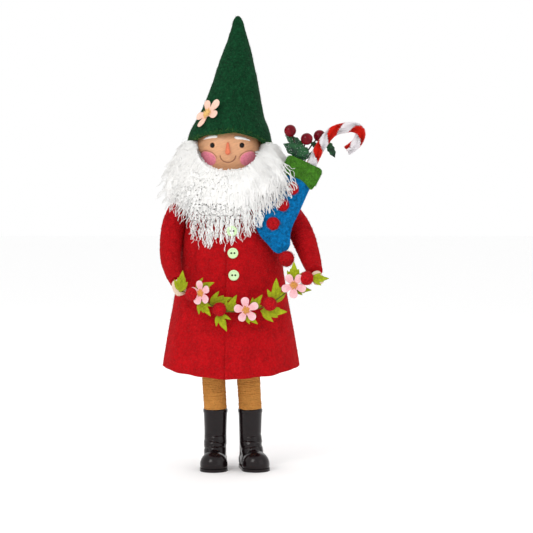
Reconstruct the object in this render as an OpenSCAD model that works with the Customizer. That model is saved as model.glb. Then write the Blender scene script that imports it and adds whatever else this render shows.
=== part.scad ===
// Folk-craft gnome figurine: a felt-coated doll on a foam and wire core, with a garland
// held between its hands and a stocking on its shoulder.
// Millimetres. The figure faces -Y, +Z is up, and its own left hand is on +X.

/* [Body] */
// Height of the figure, from the soles to the tip of the hat
figure_h = 400; // [396:1:404]
// Half width of the coat at its hem
hem_w = 61; // [59:0.5:63]
// Half depth of the coat at its hem
hem_d = 46; // [45:0.5:48]
// Height of the hem at the side seams
hem_z = 91; // [90:0.5:95]
// How much lower the hem hangs at the centre front and back
hem_drop = 7; // [2:0.5:9]
// Thickness of the coat and hat felt
felt_t = 2; // [1.4:0.1:2.4]
// Diameter of the yarn-wrapped legs
leg_d = 20.6; // [19:0.2:21]
// Distance between the two legs, centre to centre
leg_gap = 31; // [29:0.5:32]
// Height of the boots
boot_h = 53; // [49:0.5:53]
// How far the left toe points outwards, in degrees
toe_out = 16; // [6:1:20]

/* [Head] */
// Radius of the painted face
face_r = 28.5; // [28:0.1:29]
// How far the head is turned towards the figure's right, in degrees
head_turn = 0; // [0:1:6]
// Diameter of the bead eyes
eye_d = 4.2; // [3.6:0.1:5]
// Radius of the flower sewn on the hat
hat_flower_r = 13.5; // [11:0.5:14]

/* [Buttons] */
// Diameter of the coat buttons
button_d = 9.2; // [7.5:0.1:10]
// Distance from one button to the next
button_pitch = 19; // [17:0.5:19.5]

/* [Garland] */
// Radius of the garland flowers
flower_r = 11; // [10:0.5:11.5]
// Diameter of the garland's felt balls
ball_d = 12; // [10:0.5:12.4]
// Thickness of the leaf felt
leaf_t = 1.2; // [0.9:0.1:1.2]
// Diameter of the garland's cord
cord_d = 1; // [0.8:0.1:1.1]

/* [Stocking] */
// Diameter of each chenille stem of the candy cane
chenille_d = 3.5; // [3:0.1:3.6]
// Length of one turn of the candy cane's twist
cane_pitch = 21; // [18:0.5:24]
// Diameter of the holly berries
berry_d = 10.4; // [9:0.1:10.6]
// Diameter of the pompom on the toe
toe_pompom_d = 14; // [12:0.5:14]

/* [Hidden] */

// The frame's origin is under the middle of the whole figure's box, so the body's own
// axis stands a little to one side of it.
body_at = [-27.2, 3.4, 0];

gap = 0.2;              // clearance between pieces that are sewn or glued face to face
seam_sides = 24;        // columns of points across half a coat
round_fn = 48;

// ---------------------------------------------------------------- points and paths

function unit(v) = v / norm(v);
function smooth(t) = let (c = max(0, min(1, t))) c * c * (3 - 2 * c);

// One stretch of a Catmull-Rom curve through points b and c
function bend(a, b, c, d, t) =
    0.5 * (2 * b + (c - a) * t + (2 * a - 5 * b + 4 * c - d) * t * t
        + (3 * b - a - 3 * c + d) * t * t * t);

// A smooth curve through every point, with `per` steps between neighbours
function curve(p, per) = let (n = len(p)) [
    for (i = [0 : n - 2]) for (k = [0 : per - 1])
        bend(p[max(i - 1, 0)], p[i], p[i + 1], p[min(i + 2, n - 1)], k / per),
    p[n - 1]];

function tangent(p, i) = unit(p[min(i + 1, len(p) - 1)] - p[max(i - 1, 0)]);

// A circle of `sides` points round p[i], square to the path; `side` is any direction
// that the path never runs along
function path_ring(p, i, r, sides, side) =
    let (t = tangent(p, i), u = unit(cross(side, t)), v = cross(t, u))
    [for (k = [0 : sides - 1]) p[i] + r * (cos(360 * k / sides) * u + sin(360 * k / sides) * v)];

// An ellipse of `sides` points round the vertical through [x, y]
function ellipse(x, y, z, a, b, sides) =
    [for (k = [0 : sides - 1]) [x + a * cos(360 * k / sides), y + b * sin(360 * k / sides), z]];

// ---------------------------------------------------------------- closed solids from grids

// Two triangles for each cell of a grid of points; `wrap` joins the last column to the first
function grid_faces(rows, cols, first, wrap, flip) = [
    for (r = [0 : rows - 2]) for (c = [0 : cols - (wrap ? 1 : 2)])
        let (d = (c + 1) % cols, bl = first + r * cols + c, br = first + r * cols + d,
            tl = bl + cols, tr = br + cols)
        each flip ? [[bl, tr, tl], [bl, br, tr]] : [[bl, tl, tr], [bl, tr, br]]];

// The points of a grid in one list
function flat(grid) = [for (row = grid) each row];

// A solid through closed rings, with flat ends
module loft(rings) {
    n = len(rings[0]);
    m = len(rings);
    polyhedron(flat(rings), concat(grid_faces(m, n, 0, true, false),
        [[for (k = [0 : n - 1]) k], [for (k = [n - 1 : -1 : 0]) (m - 1) * n + k]]));
}

// A tube wall between outer and inner rings, open at both ends
module tube(outer, inner) {
    n = len(outer[0]);
    m = len(outer);
    in = m * n;
    top = (m - 1) * n;
    polyhedron(concat(flat(outer), flat(inner)), concat(
        grid_faces(m, n, 0, true, false), grid_faces(m, n, in, true, true),
        [for (k = [0 : n - 1]) let (j = (k + 1) % n)
            each [[k, j, in + j], [k, in + j, in + k],
                [top + k, in + top + j, top + j], [top + k, in + top + k, in + top + j]]]));
}

// A cup: a tube wall whose last rings are closed, such as a hat
module cup(outer, inner) {
    n = len(outer[0]);
    m = len(outer);
    in = m * n;
    top = (m - 1) * n;
    polyhedron(concat(flat(outer), flat(inner)), concat(
        grid_faces(m, n, 0, true, false), grid_faces(m, n, in, true, true),
        [for (k = [0 : n - 1]) let (j = (k + 1) % n)
            each [[k, j, in + j], [k, in + j, in + k]]],
        [[for (k = [n - 1 : -1 : 0]) top + k], [for (k = [0 : n - 1]) in + top + k]]));
}

// A curved sheet between an outer and an inner grid
module sheet(outer, inner) {
    n = len(outer[0]);
    m = len(outer);
    in = m * n;
    top = (m - 1) * n;
    polyhedron(concat(flat(outer), flat(inner)), concat(
        grid_faces(m, n, 0, false, false), grid_faces(m, n, in, false, true),
        [for (k = [0 : n - 2]) each [[k, k + 1, in + k + 1], [k, in + k + 1, in + k],
            [top + k, in + top + k + 1, top + k + 1], [top + k, in + top + k, in + top + k + 1]]],
        [for (r = [0 : m - 2]) let (a = r * n, b = a + n, c = a + n - 1, d = c + n)
            each [[a, in + b, b], [a, in + a, in + b], [c, d, in + d], [c, in + d, in + c]]]));
}

// A round bar along a path
module bar(path, r, sides, side) {
    loft([for (i = [0 : len(path) - 1]) path_ring(path, i, r, sides, side)]);
}

// ---------------------------------------------------------------- legs and boots

leg_mid = 1.5;                    // the stance is a little to the left of the body's axis
function leg_x(s) = leg_mid + s * leg_gap / 2;
dowel_r = 3;
leg_in_boot = leg_d / 2 - 1.9;    // the yarn is thinner where the leg stands in the boot
core_bottom = 118;

module leg_dowel(s) {
    color("burlywood") translate([leg_x(s), 0, 22])
        cylinder(h = core_bottom + 24 - 22, r = dowel_r, $fn = round_fn);
}

module leg_wrap(s) {
    color("peru") translate([leg_x(s), 0, 0]) difference() {
        rotate_extrude($fn = round_fn) polygon([[0, 36], [leg_in_boot, 36],
            [leg_in_boot, boot_h + gap], [leg_d / 2 - 0.4, boot_h + gap],
            [leg_d / 2 - 0.1, boot_h + 8], [leg_d / 2 - 0.5, boot_h + 18],
            [leg_d / 2, boot_h + 27], [leg_d / 2 + 0.2, boot_h + 38],
            [leg_d / 2, core_bottom - 2], [leg_d / 2 - 1, core_bottom - gap],
            [0, core_bottom - gap]]);
        translate([0, 0, 20]) cylinder(h = 120, r = dowel_r + 0.05, $fn = round_fn);
    }
}

sole_t = 2.6;
shaft_r = 10.4;

module at_foot(s) {
    translate([leg_x(s), 0, 0]) rotate(s < 0 ? -3 : toe_out) children();
}

// The outline of a boot's foot on the ground, with the toe towards -Y
module foot_outline() {
    hull() {
        translate([0, -18.4]) circle(12.4, $fn = round_fn);
        translate([0, 1.5]) circle(10, $fn = round_fn);
    }
}

module boot(s) {
    color("#2c2628") at_foot(s) difference() {
        union() {
            // The foot, with its round toe cap
            hull() {
                translate([0, -18.4, 4]) sphere(12, $fn = 32);
                translate([0, 1.5, 6]) sphere(9.8, $fn = 32);
            }
            // The instep, rising from the foot to the shaft
            hull() {
                translate([0, -10, 9]) sphere(8.4, $fn = 24);
                translate([0, 0, 26]) sphere(9.4, $fn = 24);
            }
            rotate_extrude($fn = round_fn) polygon([[0, sole_t], [9.6, sole_t], [9.4, 16],
                [9.7, 30], [shaft_r - 0.3, boot_h - 6], [shaft_r + 0.1, boot_h - 4],
                [shaft_r - 0.2, boot_h - 3.4], [shaft_r + 0.3, boot_h - 2.8],
                [shaft_r + 0.3, boot_h], [0, boot_h]]);
        }
        translate([-20, -40, -20]) cube([40, 60, 20 + sole_t]);
        // The socket that the leg stands in
        translate([0, 0, 35.8]) cylinder(h = 30, r = leg_in_boot + 0.05, $fn = round_fn);
        translate([0, 0, 21.9]) cylinder(h = 20, r = dowel_r + 0.05, $fn = round_fn);
    }
}

module boot_sole(s) {
    color("#1c1819") at_foot(s) linear_extrude(sole_t - 0.02) foot_outline();
}

// ---------------------------------------------------------------- core and armature

neck_z = 254;
shoulder_z = 237;
wire_r = 1;

module torso_core() {
    color("white") difference() {
        rotate_extrude($fn = round_fn) polygon([[0, core_bottom], [30, core_bottom], [32, 124],
            [29, 170], [24.5, 210], [21, 228], [16, 240], [10.5, 247], [0, 247]]);
        for (s = [-1, 1]) translate([leg_x(s), 0, core_bottom - 1])
            cylinder(h = 25.05, r = dowel_r + 0.02, $fn = round_fn);
        translate([0, 0, 222]) cylinder(h = 40, r = 4.02, $fn = round_fn);
        translate([-50, 0, shoulder_z - 24]) rotate([0, 90, 0])
            cylinder(h = 100, r = wire_r + 0.05, $fn = round_fn);
    }
}

module neck_dowel() {
    color("burlywood") translate([0, 0, 222.05]) cylinder(h = 47.9, r = 4, $fn = round_fn);
}

// ---------------------------------------------------------------- coat

// Height, half width and half depth of the coat's outside, from the shoulders to the hem
coat_rows = [[252, 14, 12], [246, 22, 17], [238, 29.2, 21.5], [228, 35.2, 25.5],
    [214, 41, 28.8], [198, 43.8, 31.4], [178, 46.2, 34.2], [150, 50.6, 38.4],
    [120, 56.4, 43], [hem_z, hem_w, hem_d]];
coat_rings = curve(coat_rows, 2);

function coat_size(z) = [lookup(z, [for (r = coat_rows) [r[0], r[1]]]),
    lookup(z, [for (r = coat_rows) [r[0], r[2]]])];

// How far up a row is pulled at the sides, so that the hem hangs lowest at front and back
function hem_fall(z, angle) =
    hem_drop * smooth((150 - z) / 57) * pow(abs(sin(angle)), 2);

placket_lift = felt_t + 0.4;
function lift_at(angle, edge) = placket_lift * (1 - smooth((angle - edge - 11) / 16));

// A grid of points over the coat from angle a0 to a1, moved in by `inwards`
function coat_grid(a0, a1, inwards, lifted) = [
    for (r = [len(coat_rings) - 1 : -1 : 0]) let (row = coat_rings[r]) [
        for (k = [0 : seam_sides]) let (angle = a0 + (a1 - a0) * k / seam_sides,
            out = (lifted ? lift_at(angle, a0) : 0) - inwards)
            [(row[1] + out) * cos(angle), (row[2] + out) * sin(angle),
                row[0] - hem_fall(row[0], angle)]]];

module coat_panel(a0, a1, lifted) {
    difference() {
        sheet(coat_grid(a0, a1, 0, lifted), coat_grid(a0, a1, felt_t, lifted));
        arm_bar(-1, wire_r + 0.35);
        arm_bar(1, wire_r + 0.35);
    }
}

placket_edge = 266;
underlap_edge = 274;

module coat_back() { color("#b01218") coat_panel(0.3, 179.7, false); }
module coat_right_front() { color("#b01218") coat_panel(180.3, underlap_edge, false); }
module coat_left_front() { color("#b01218") coat_panel(placket_edge, 359.7, true); }

button_top_z = 211.5;

// A round sewn-through button, lying in the XY plane with its face up
module button() {
    difference() {
        rotate_extrude($fn = round_fn) polygon([[0, 0], [button_d / 2 - 0.5, 0],
            [button_d / 2, 0.6], [button_d / 2, 1.5], [button_d / 2 - 0.5, 2],
            [button_d / 2 - 1.1, 2], [button_d / 2 - 1.7, 1.5], [0, 1.4]]);
        for (x = [-1, 1]) translate([1.5 * x, 0, -1]) cylinder(h = 4, r = 0.7, $fn = 24);
    }
}

// How far forward of the body's axis the buttons sit at height z, and how they lean
function button_y(z) = -(coat_size(z)[1] + placket_lift) - gap - 0.25;

module coat_buttons() {
    color("#b9dc9a") for (k = [0 : 2]) let (z = button_top_z - k * button_pitch)
        translate([1.6 + 0.8 * k, button_y(z), z]) rotate([83, 0, 0]) button();
}

// ---------------------------------------------------------------- arms and hands

// Centre line of each arm, from the shoulder to the wrist; -1 is the figure's right arm
right_arm = [[-39.5, 0, 237], [-46.5, -1, 228.5], [-51.5, -4, 215], [-53.2, -9.5, 200],
    [-52.6, -17.5, 186.5], [-49.6, -27.8, 175.5], [-46, -37, 168]];
left_arm = [[39.5, 0, 237], [48.5, -1, 229.5], [57.5, -4, 218], [64, -9, 204.5],
    [68.5, -16.5, 192], [71.4, -26.4, 183], [73.6, -35.6, 176.5]];
right_arm_r = [8.4, 9.6, 9.6, 9.2, 8.6, 7.6, 6.2];
left_arm_r = [8.4, 10, 10.6, 10.6, 9.6, 8.2, 6.8];
arm_side = [0, 1, 0.2];
arm_steps = 3;

function arm(s) = curve(s < 0 ? right_arm : left_arm, arm_steps);
function arm_radii(s) = curve(s < 0 ? right_arm_r : left_arm_r, arm_steps);

// The armature's own line: it drops from the shoulder into the cross hole of the core
function wire_line(s) = concat(
    [[0, 0, shoulder_z - 24], [25 * s, 0, shoulder_z - 24], [27.5 * s, 0, shoulder_z - 20],
        [28.5 * s, 0, shoulder_z - 11], [31 * s, 0, shoulder_z - 2.5], [34 * s, 0, shoulder_z + 2],
        [37 * s, 0, shoulder_z + 2.4]], arm(s));

module arm_bar(s, r) {
    bar(wire_line(s), r, 10, [0, 1, 0.2]);
}

module arm_wire() {
    color("silver") loft([
        for (p = [concat([for (i = [len(wire_line(-1)) - 1 : -1 : 1]) wire_line(-1)[i]],
            wire_line(1))], i = [0 : len(p) - 1])
            path_ring(p, i, wire_r - 0.08, 8, [0, 1, 0.2])]);
}

module sleeve(s) {
    p = arm(s);
    r = arm_radii(s);
    color("#b3141b") tube(
        [for (i = [0 : len(p) - 1]) path_ring(p, i, r[i], 16, arm_side)],
        [for (i = [0 : len(p) - 1]) path_ring(p, i, wire_r + 0.15, 16, arm_side)]);
}

// Centre line of each hand, on from the wrist
function hand_line(s) = s < 0
    ? [[-45.8, -37.5, 167.6], [-44.8, -40, 165.2], [-43.6, -41.8, 162], [-42.4, -42.6, 158.6],
        [-41.6, -42.8, 156.4]]
    : [[73.8, -36.2, 176], [74.8, -38.8, 174], [76, -40.8, 171], [77, -42, 167.8],
        [77.6, -42.2, 165.6]];
hand_r = [5.4, 5.9, 5.9, 4.8, 1.8];

module hand(s) {
    p = hand_line(s);
    color("#efe3d2") loft([for (i = [0 : len(p) - 1])
        path_ring(p, i, hand_r[i], 16, arm_side)]);
}

// ---------------------------------------------------------------- head

head_z = 286;
head_x = -2;                      // the head sits a little to the right of the neck

module at_head() { translate([head_x, 0, head_z]) rotate(-head_turn) children(); }

// Turns +Z to point out of the face, `across` to the figure's left and `up` from its middle
module on_face(across, up) {
    at_head() rotate([0, 0, across]) rotate([90 - up, 0, 0]) children();
}

eye_across = 27;
eye_shift = -1.6;                 // both eyes sit a little to the right of the nose
cheek_across = 45;
cheek_up = -25;
cheek_size = [9.4, 6.8];          // half width and half height
mouth_r = 7.3;

module head_ball() {
    color("tan") difference() {
        at_head() sphere(face_r - 2.5, $fn = round_fn);
        translate([0, 0, head_z - 40]) cylinder(h = 24.05, r = 4.02, $fn = round_fn);
    }
}

module face_shell() {
    color("#e9a77c") difference() {
        at_head() intersection() {
            difference() {
                sphere(face_r, $fn = round_fn);
                sphere(face_r - 2.45, $fn = round_fn);
            }
            translate([-40, -40, -40]) cube([80, 36, 80]);
        }
        for (s = [-1, 1]) on_face(s * eye_across + eye_shift, 0)
            translate([0, 0, face_r - 0.6]) cylinder(h = 3, r = eye_d / 2 + 0.05, $fn = 32);
        // The carved smile is part of a small circle on the ball
        on_face(0, -17.8) translate([0, 0, sqrt(face_r * face_r - mouth_r * mouth_r)])
            rotate(-172) rotate_extrude(angle = 164, $fn = round_fn)
                translate([mouth_r, 0]) circle(0.55, $fn = 16);
    }
}

module nose() {
    color("#e2764f") on_face(0, -5) translate([0, 0, face_r + 1.05]) hull() {
        translate([0, 5.4, 0]) sphere(1, $fn = 24);
        for (s = [-1, 1]) translate([1.5 * s, -5, 0]) sphere(1, $fn = 24);
        translate([0, -4.2, 1.9]) sphere(1, $fn = 24);
    }
}

module eyes() {
    color("#101010") for (s = [-1, 1]) on_face(s * eye_across + eye_shift, 0) intersection() {
        translate([0, 0, face_r - 1.1]) sphere(eye_d / 2, $fn = 32);
        translate([0, 0, face_r - 0.58]) cylinder(h = 4, r = eye_d, $fn = 32);
    }
}

// One point of an eyebrow, on a ball a little larger than the face: both brows sit a little to
// the right of the nose, and they bend down towards their thin ends
function brow_point(s, t) = let (a = s * (15.5 + 30.5 * t) - 3.5, e = 14.6 - 1.1 * s - 5.3 * t * t,
    r = face_r + 0.95) r * [sin(a) * cos(e), -cos(a) * cos(e), sin(e)];

module eyebrows() {
    steps = 8;
    color("white") at_head() for (s = [-1, 1])
        let (p = [for (k = [0 : steps]) brow_point(s, k / steps)])
            loft([for (k = [0 : steps]) path_ring(p, k, 0.9 - 0.5 * k / steps, 8, [0, 1, 0.3])]);
}

module cheeks() {
    color("#e68aa0") for (s = [-1, 1]) on_face(s * cheek_across, cheek_up) intersection() {
        difference() {
            sphere(face_r + 0.75, $fn = round_fn);
            sphere(face_r + 0.03, $fn = round_fn);
        }
        linear_extrude(40) polygon([for (a = [0 : 7.5 : 352.5])
            [cheek_size[0] * cos(a), cheek_size[1] * sin(a)]]);
    }
}

// Height, outer half width, outer half depth and inner radius of the hair round the head
hair_rows = [[246, 42, 34, 28], [250, 50, 38, 24], [257, 54, 40, 24], [266, 51, 38.5, 26.5],
    [272, 45, 36, 28.7], [277.5, 33.6, 30, 28.8], [283, 32.6, 29.4, 28.8]];

function hair_grid(outer) = [for (r = hair_rows) [for (k = [0 : 32])
    let (angle = -24 + 228 * k / 32) outer
        ? [r[1] * cos(angle), 2 + r[2] * sin(angle), r[0]]
        : [head_x + r[3] * cos(angle), r[3] * sin(angle), r[0]]]];

module hair() {
    color("white") sheet(hair_grid(true), hair_grid(false));
}

// Height, right and left ends, back and front of the beard, from its tip to the chin
beard_rows = [[203, -22, 8, -35.8, -40.5], [210, -36, 17, -35.5, -43], [222, -46, 18, -33, -46],
    [236, -50, 28, -26.4, -47.5], [248, -51, 36, -21, -47], [257, -46, 40, -17, -43],
    [262, -38, 34, -18, -35]];

module beard() {
    color("white") loft([for (r = beard_rows) let (w = (r[2] - r[1]) / 2,
        d = (r[3] - r[4]) / 2) ellipse((r[1] + r[2]) / 2, (r[3] + r[4]) / 2, r[0], w, d, 24)]);
}

// ---------------------------------------------------------------- hat

// Height, middle X and Y, and half width of the hat's outside, from the brim to the tip
hat_rows = [[288.5, -0.9, 1, 36.2], [295.6, -0.7, 1, 35], [302.6, 0.2, 1, 32.8],
    [311.4, 0.6, 1.4, 28.9], [320.2, 2, 1.8, 25.9], [333.4, 3.6, 2.4, 22.2],
    [344.2, 4.6, 2.8, 19.2], [356.6, 5.2, 3.2, 15.9], [373.1, 6, 3.8, 10.8],
    [387, 6.3, 4, 6.4], [394.5, 6.3, 4, 4.3], [398.6, 6.3, 4, 1.8]];
hat_depth = 0.96;                 // depth over width of the hat
hat_sides = 32;
brim_tilt = 8.4;                  // how far the brim rises at the front and drops behind
brim_lean = 2.2;                  // and how far it drops on the figure's left
brim_arch = 2.4;                  // how narrow the rise over the forehead is

hat_top = hat_rows[len(hat_rows) - 1][0];

function hat_tilt(z) = 1 - smooth((z - 288) / 45);

// How much higher than its lowest side the brim is at an angle round the hat
function brim_rise(angle) = (sin(angle) < 0
    ? (brim_tilt + brim_lean * cos(angle)) * pow(-sin(angle), brim_arch)
    : -brim_tilt * sin(angle)) - brim_lean * cos(angle);

function hat_ring(row, inwards, drop) = [
    for (k = [0 : hat_sides - 1]) let (angle = 360 * k / hat_sides, r = row[3] - inwards,
        z = row[0] - drop)
        [row[1] + r * cos(angle), row[2] + r * hat_depth * sin(angle),
            z + hat_tilt(row[0]) * brim_rise(angle)
                + (row[0] - 288.5) * (figure_h - hat_top) / (hat_top - 288.5)]];

// The lining's tip stops well short of the outside's
function lining_drop(z) = 9 * smooth((z - 350) / 45);

module hat() {
    color("#17492a") cup([for (row = hat_rows) hat_ring(row, 0, 0)],
        [for (row = hat_rows) hat_ring(row, min(felt_t, row[3] - 0.9), lining_drop(row[0]))]);
}

module hat_stuffing() {
    color("white") difference() {
        loft([for (row = hat_rows) if (row[0] > 298 && row[0] < 380)
            hat_ring(row, felt_t + gap, lining_drop(row[0]))]);
        at_head() sphere(face_r + 0.2, $fn = round_fn);
    }
}

// Five rounded petals in the XY plane, with the first one towards +Y
module five_petals(r) {
    for (k = [0 : 4]) rotate(72 * k) hull() {
        translate([0, 0.68 * r]) circle(0.32 * r, $fn = 32);
        translate([0, 0.12 * r]) circle(0.13 * r, $fn = 16);
    }
}

// Stitches across the middle of a flower, in the XY plane and standing on it
module stitches(r) {
    for (k = [0 : 3]) rotate(45 * k + 10) translate([-0.3 * r, 0, 0.12 + 0.02 * k])
        rotate([0, 90, 0]) cylinder(h = 0.6 * r, r = 0.45, $fn = 16);
}

hat_flower_at = [-21.2, -18.8, 315.8];

module at_hat_flower() {
    translate(hat_flower_at) rotate([0, 0, -44]) rotate([68, 0, 0]) rotate(8) children();
}

module hat_flower() {
    color("#f3bd9c") at_hat_flower() linear_extrude(1.4) five_petals(hat_flower_r);
}

module hat_flower_stitches() {
    color("#d39a3a") at_hat_flower() translate([0, 0, 1.75]) stitches(hat_flower_r);
}

// ---------------------------------------------------------------- stocking

// The stocking hangs slanting in its own upright plane: from here on X runs along its
// mouth, Z runs up out of the mouth, and Y = 0 is halfway between its two felts.
stocking_at = [65, -29.2, 270];
stocking_slant = 24.3;
stocking_in = 7.6;               // room between the two felts
stocking_felt = 1.5;
cane_x = 5.4;

module at_stocking() {
    translate(stocking_at) rotate([0, stocking_slant, 0]) children();
}

stocking_outline = [[13, -1.5], [12.6, -20], [12.7, -40], [12.4, -54], [14, -62], [17, -69],
    [17, -74], [13.5, -79], [8, -81], [0, -77.5], [-9, -73.5], [-16, -68], [-20, -61],
    [-19, -52], [-15.5, -44], [-14.2, -30], [-14, -1.5]];
toe_pompom_at = [19, 0, -82];

// A felt slice of the stocking from y0 to y1
module stocking_slice(y0, y1, inset) {
    at_stocking() difference() {
        translate([0, y1, 0]) rotate([90, 0, 0]) linear_extrude(y1 - y0)
            offset(delta = -inset) polygon(curve(stocking_outline, 3));
        translate(toe_pompom_at) sphere(toe_pompom_d / 2 + 0.15, $fn = round_fn);
    }
}

module stocking_front() {
    color("#0e66a8") stocking_slice(-stocking_in / 2 - stocking_felt, -stocking_in / 2, 0);
}

module stocking_back() {
    color("#0e66a8") stocking_slice(stocking_in / 2, stocking_in / 2 + stocking_felt, 0);
}

module stocking_stuffing() {
    color("white") difference() {
        stocking_slice(-stocking_in / 2 + gap / 2, stocking_in / 2 - gap / 2, 1);
        // Slots for what is pushed into the stocking, and a level top below its mouth
        at_stocking() translate([cane_x - 3.8, -10, -27]) cube([7.6, 20, 40]);
        at_stocking() translate([-10, -10, -19]) cube([9.8, 20, 30]);
        at_stocking() translate([-20, -10, -4]) cube([40, 20, 10]);
    }
}

cuff_outline = [[-16, 0], [-8, 1.6], [6, 1.6], [16, 0], [15.4, -14], [13.6, -18.6],
    [7, -16], [0, -14.6], [-8, -15], [-15.4, -15.6]];

module stocking_cuff() {
    t = stocking_in / 2 + stocking_felt + 0.15;
    color("#3f7a26") at_stocking() difference() {
        translate([0, t + 1.4, 0]) rotate([90, 0, 0]) linear_extrude(2 * t + 2.8)
            polygon(curve(cuff_outline, 3));
        translate([-14.2, -t, -30]) cube([27.4, 2 * t, 60]);
    }
}

pompom_places = [[-1.4, -24], [-3.2, -40.5], [-4, -58.5]];
pompom_r = 5.4;

module stocking_pompoms() {
    color("#b8141c") at_stocking() for (p = pompom_places)
        translate([p[0], -stocking_in / 2 - stocking_felt - 0.02, p[1]]) rotate([90, 0, 0])
            rotate_extrude($fn = round_fn) intersection() {
                circle(pompom_r, $fn = round_fn);
                square(pompom_r + 1);
            }
}

module stocking_toe_pompom() {
    color("#b8141c") at_stocking() translate(toe_pompom_at)
        sphere(toe_pompom_d / 2, $fn = round_fn);
}

// ---------------------------------------------------------------- candy cane and holly

cane_bend = [[cane_x, 0, -26], [cane_x, 0, -10], [cane_x, 0, 6], [cane_x + 0.2, 0, 16],
    [7.2, 0, 26], [9.8, 0, 34], [13.8, 0, 40.4], [19.5, 0, 45.2], [26, 0, 47.6], [31.8, 0, 46],
    [34.4, 0, 40.5], [33.2, 0, 33], [29.2, 0, 26]];
cane_line = curve(cane_bend, 5);

// Length of a path up to point i
function path_to(p, i) = i == 0 ? 0 : path_to(p, i - 1) + norm(p[i] - p[i - 1]);

// One of the two chenille stems, wound round the cane's own line
module cane_stem(turn) {
    twist_r = chenille_d / 2 + 0.05;
    p = [for (i = [0 : len(cane_line) - 1]) let (t = tangent(cane_line, i),
        u = cross([0, 1, 0], t), a = turn - 360 * path_to(cane_line, i) / cane_pitch)
        cane_line[i] + twist_r * (cos(a) * u + sin(a) * [0, 1, 0])];
    at_stocking() bar(p, chenille_d / 2 - 0.06, 8, [0, 1, 0]);
}

module candy_cane_red() { color("#d8281c") cane_stem(20); }
module candy_cane_white() { color("#efe8ec") cane_stem(200); }

holly_y = -2.2;
// Where each holly stem leaves the mouth, bends, and ends in its berry
holly_lines = [
    [[-9, 0, -18], [-9, holly_y, 2], [-15.5, holly_y, 12.5], [-23.6, holly_y, 20.6]],
    [[-6, 0, -18], [-6, holly_y, 2], [-6.8, holly_y, 11], [-7.6, holly_y, 20]],
    [[-3, 0, -18], [-3, 0.4, 2], [-2, 4.6, 14], [1.6, 9.6, 27.4]]];
// The bare stem of the leaf behind the candy cane
leaf_stem = [[-1.4, 0, -18], [-1.4, 0.5, -4], [-0.8, 3.4, 6], [3, 5.6, 15], [9, 5.6, 23.8]];

module holly_stems() {
    color("#4a3a24") at_stocking() difference() {
        for (line = concat(holly_lines, [leaf_stem])) bar(curve(line, 4), 0.6, 8, [0, 1, 0]);
        for (line = holly_lines) translate(line[3]) sphere(berry_d / 2 + 0.02, $fn = 32);
    }
}

module holly_berries() {
    color("#7d0f18") at_stocking() for (line = holly_lines) translate(line[3])
        sphere(berry_d / 2, $fn = 32);
}

// A holly leaf in the XZ plane with prickly points, its base at the origin and its tip on +X
module holly_leaf(long, wide) {
    half = [[0, 0.5], [0.12, 0.55], [0.2, 0.95], [0.32, 0.6], [0.46, 1], [0.58, 0.6],
        [0.74, 0.85], [0.84, 0.35]];
    rotate([90, 0, 0]) linear_extrude(0.5) polygon(concat(
        [for (p = half) [p[0] * long, p[1] * wide / 2]], [[long, 0]],
        [for (i = [len(half) - 1 : -1 : 0]) [half[i][0] * long, -half[i][1] * wide / 2]]));
}

// Place, direction, length and width of each holly leaf
holly_leaf_places = [
    [[0, holly_y - 0.9, 8.6], 181, 23, 11],
    [[-7.5, holly_y + 1.3, 12.2], 170, 19, 8.5],
    [[4.4, 4.5, 18], 174, 8, 5],
    [[10.2, 4.8, 25.2], -40, 15, 7]];

module holly_leaves() {
    color("#1f6b2c") at_stocking() for (l = holly_leaf_places) difference() {
        translate(l[0]) rotate([0, -l[1], 0]) holly_leaf(l[2], l[3]);
        for (line = holly_lines) translate(line[3]) sphere(berry_d / 2 + 0.1, $fn = 32);
    }
}

// ---------------------------------------------------------------- garland

// The garland's cord, from the right hand to the left, in the upright plane of its hands
garland_y = -50.5;
cord_route = [[-43.5, -50, 160.6], [-38.5, garland_y, 159.8], [-32, garland_y, 158],
    [-26, garland_y, 155.8], [-20, garland_y, 151.6], [-14.5, garland_y, 147.6],
    [-9, garland_y, 145], [-3, garland_y, 143.4], [4, garland_y, 143], [14, garland_y, 143.8],
    [22, garland_y, 145.2], [28.5, garland_y, 147], [34.5, garland_y, 149.6],
    [40, garland_y, 153.2], [47, garland_y, 158.6], [55, garland_y, 165],
    [60.5, garland_y, 169], [66, garland_y, 171.8], [71, garland_y, 173.6],
    [76, -49.6, 174.4]];
cord_path = curve(cord_route, 3);
// Place of each ball and the slope of the cord through it
ball_places = [[-32.4, 158.1, -18], [-9, 145, -20], [34.5, 149.6, 28], [66, 171.8, 23.5]];
// Place and turn of each flower, how far it is turned sideways and how far it stands forward
flower_places = [[-24.3, 159.5, 10, -35, 4.2], [14, 144.6, 6, 0, 0], [54.9, 165.8, 36, 0, 0]];

module cord_bar(r) { bar(cord_path, r, 8, [0, 1, 0]); }

module garland_cord() { color("#5b6b22") cord_bar(cord_d / 2); }

// A felt ball, turned round the bore that the cord runs through
module garland_ball(k) {
    color("#b8141c") translate([ball_places[k][0], garland_y, ball_places[k][1]])
        rotate([0, 90 - ball_places[k][2], 0]) rotate_extrude($fn = round_fn) intersection() {
            circle(ball_d / 2, $fn = round_fn);
            translate([cord_d / 2 + 0.55, -ball_d]) square([ball_d, 2 * ball_d]);
        }
}

module at_flower(k) {
    f = flower_places[k];
    translate([f[0], garland_y - cord_d / 2 - 0.2 - f[4], f[1]]) rotate([0, 0, f[3]])
        rotate([90, 0, 0]) rotate(f[2]) children();
}

module garland_flower(k) {
    color("#f0c3c4") difference() {
        at_flower(k) linear_extrude(1.2) five_petals(flower_r);
        for (p = ball_places) translate([p[0], garland_y, p[1]])
            sphere(ball_d / 2 + 0.15, $fn = round_fn);
    }
}

module garland_flower_stitches() {
    color("#d9a14e") for (k = [0 : 2]) at_flower(k) translate([0, 0, 1.6]) stitches(flower_r);
}

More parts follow.
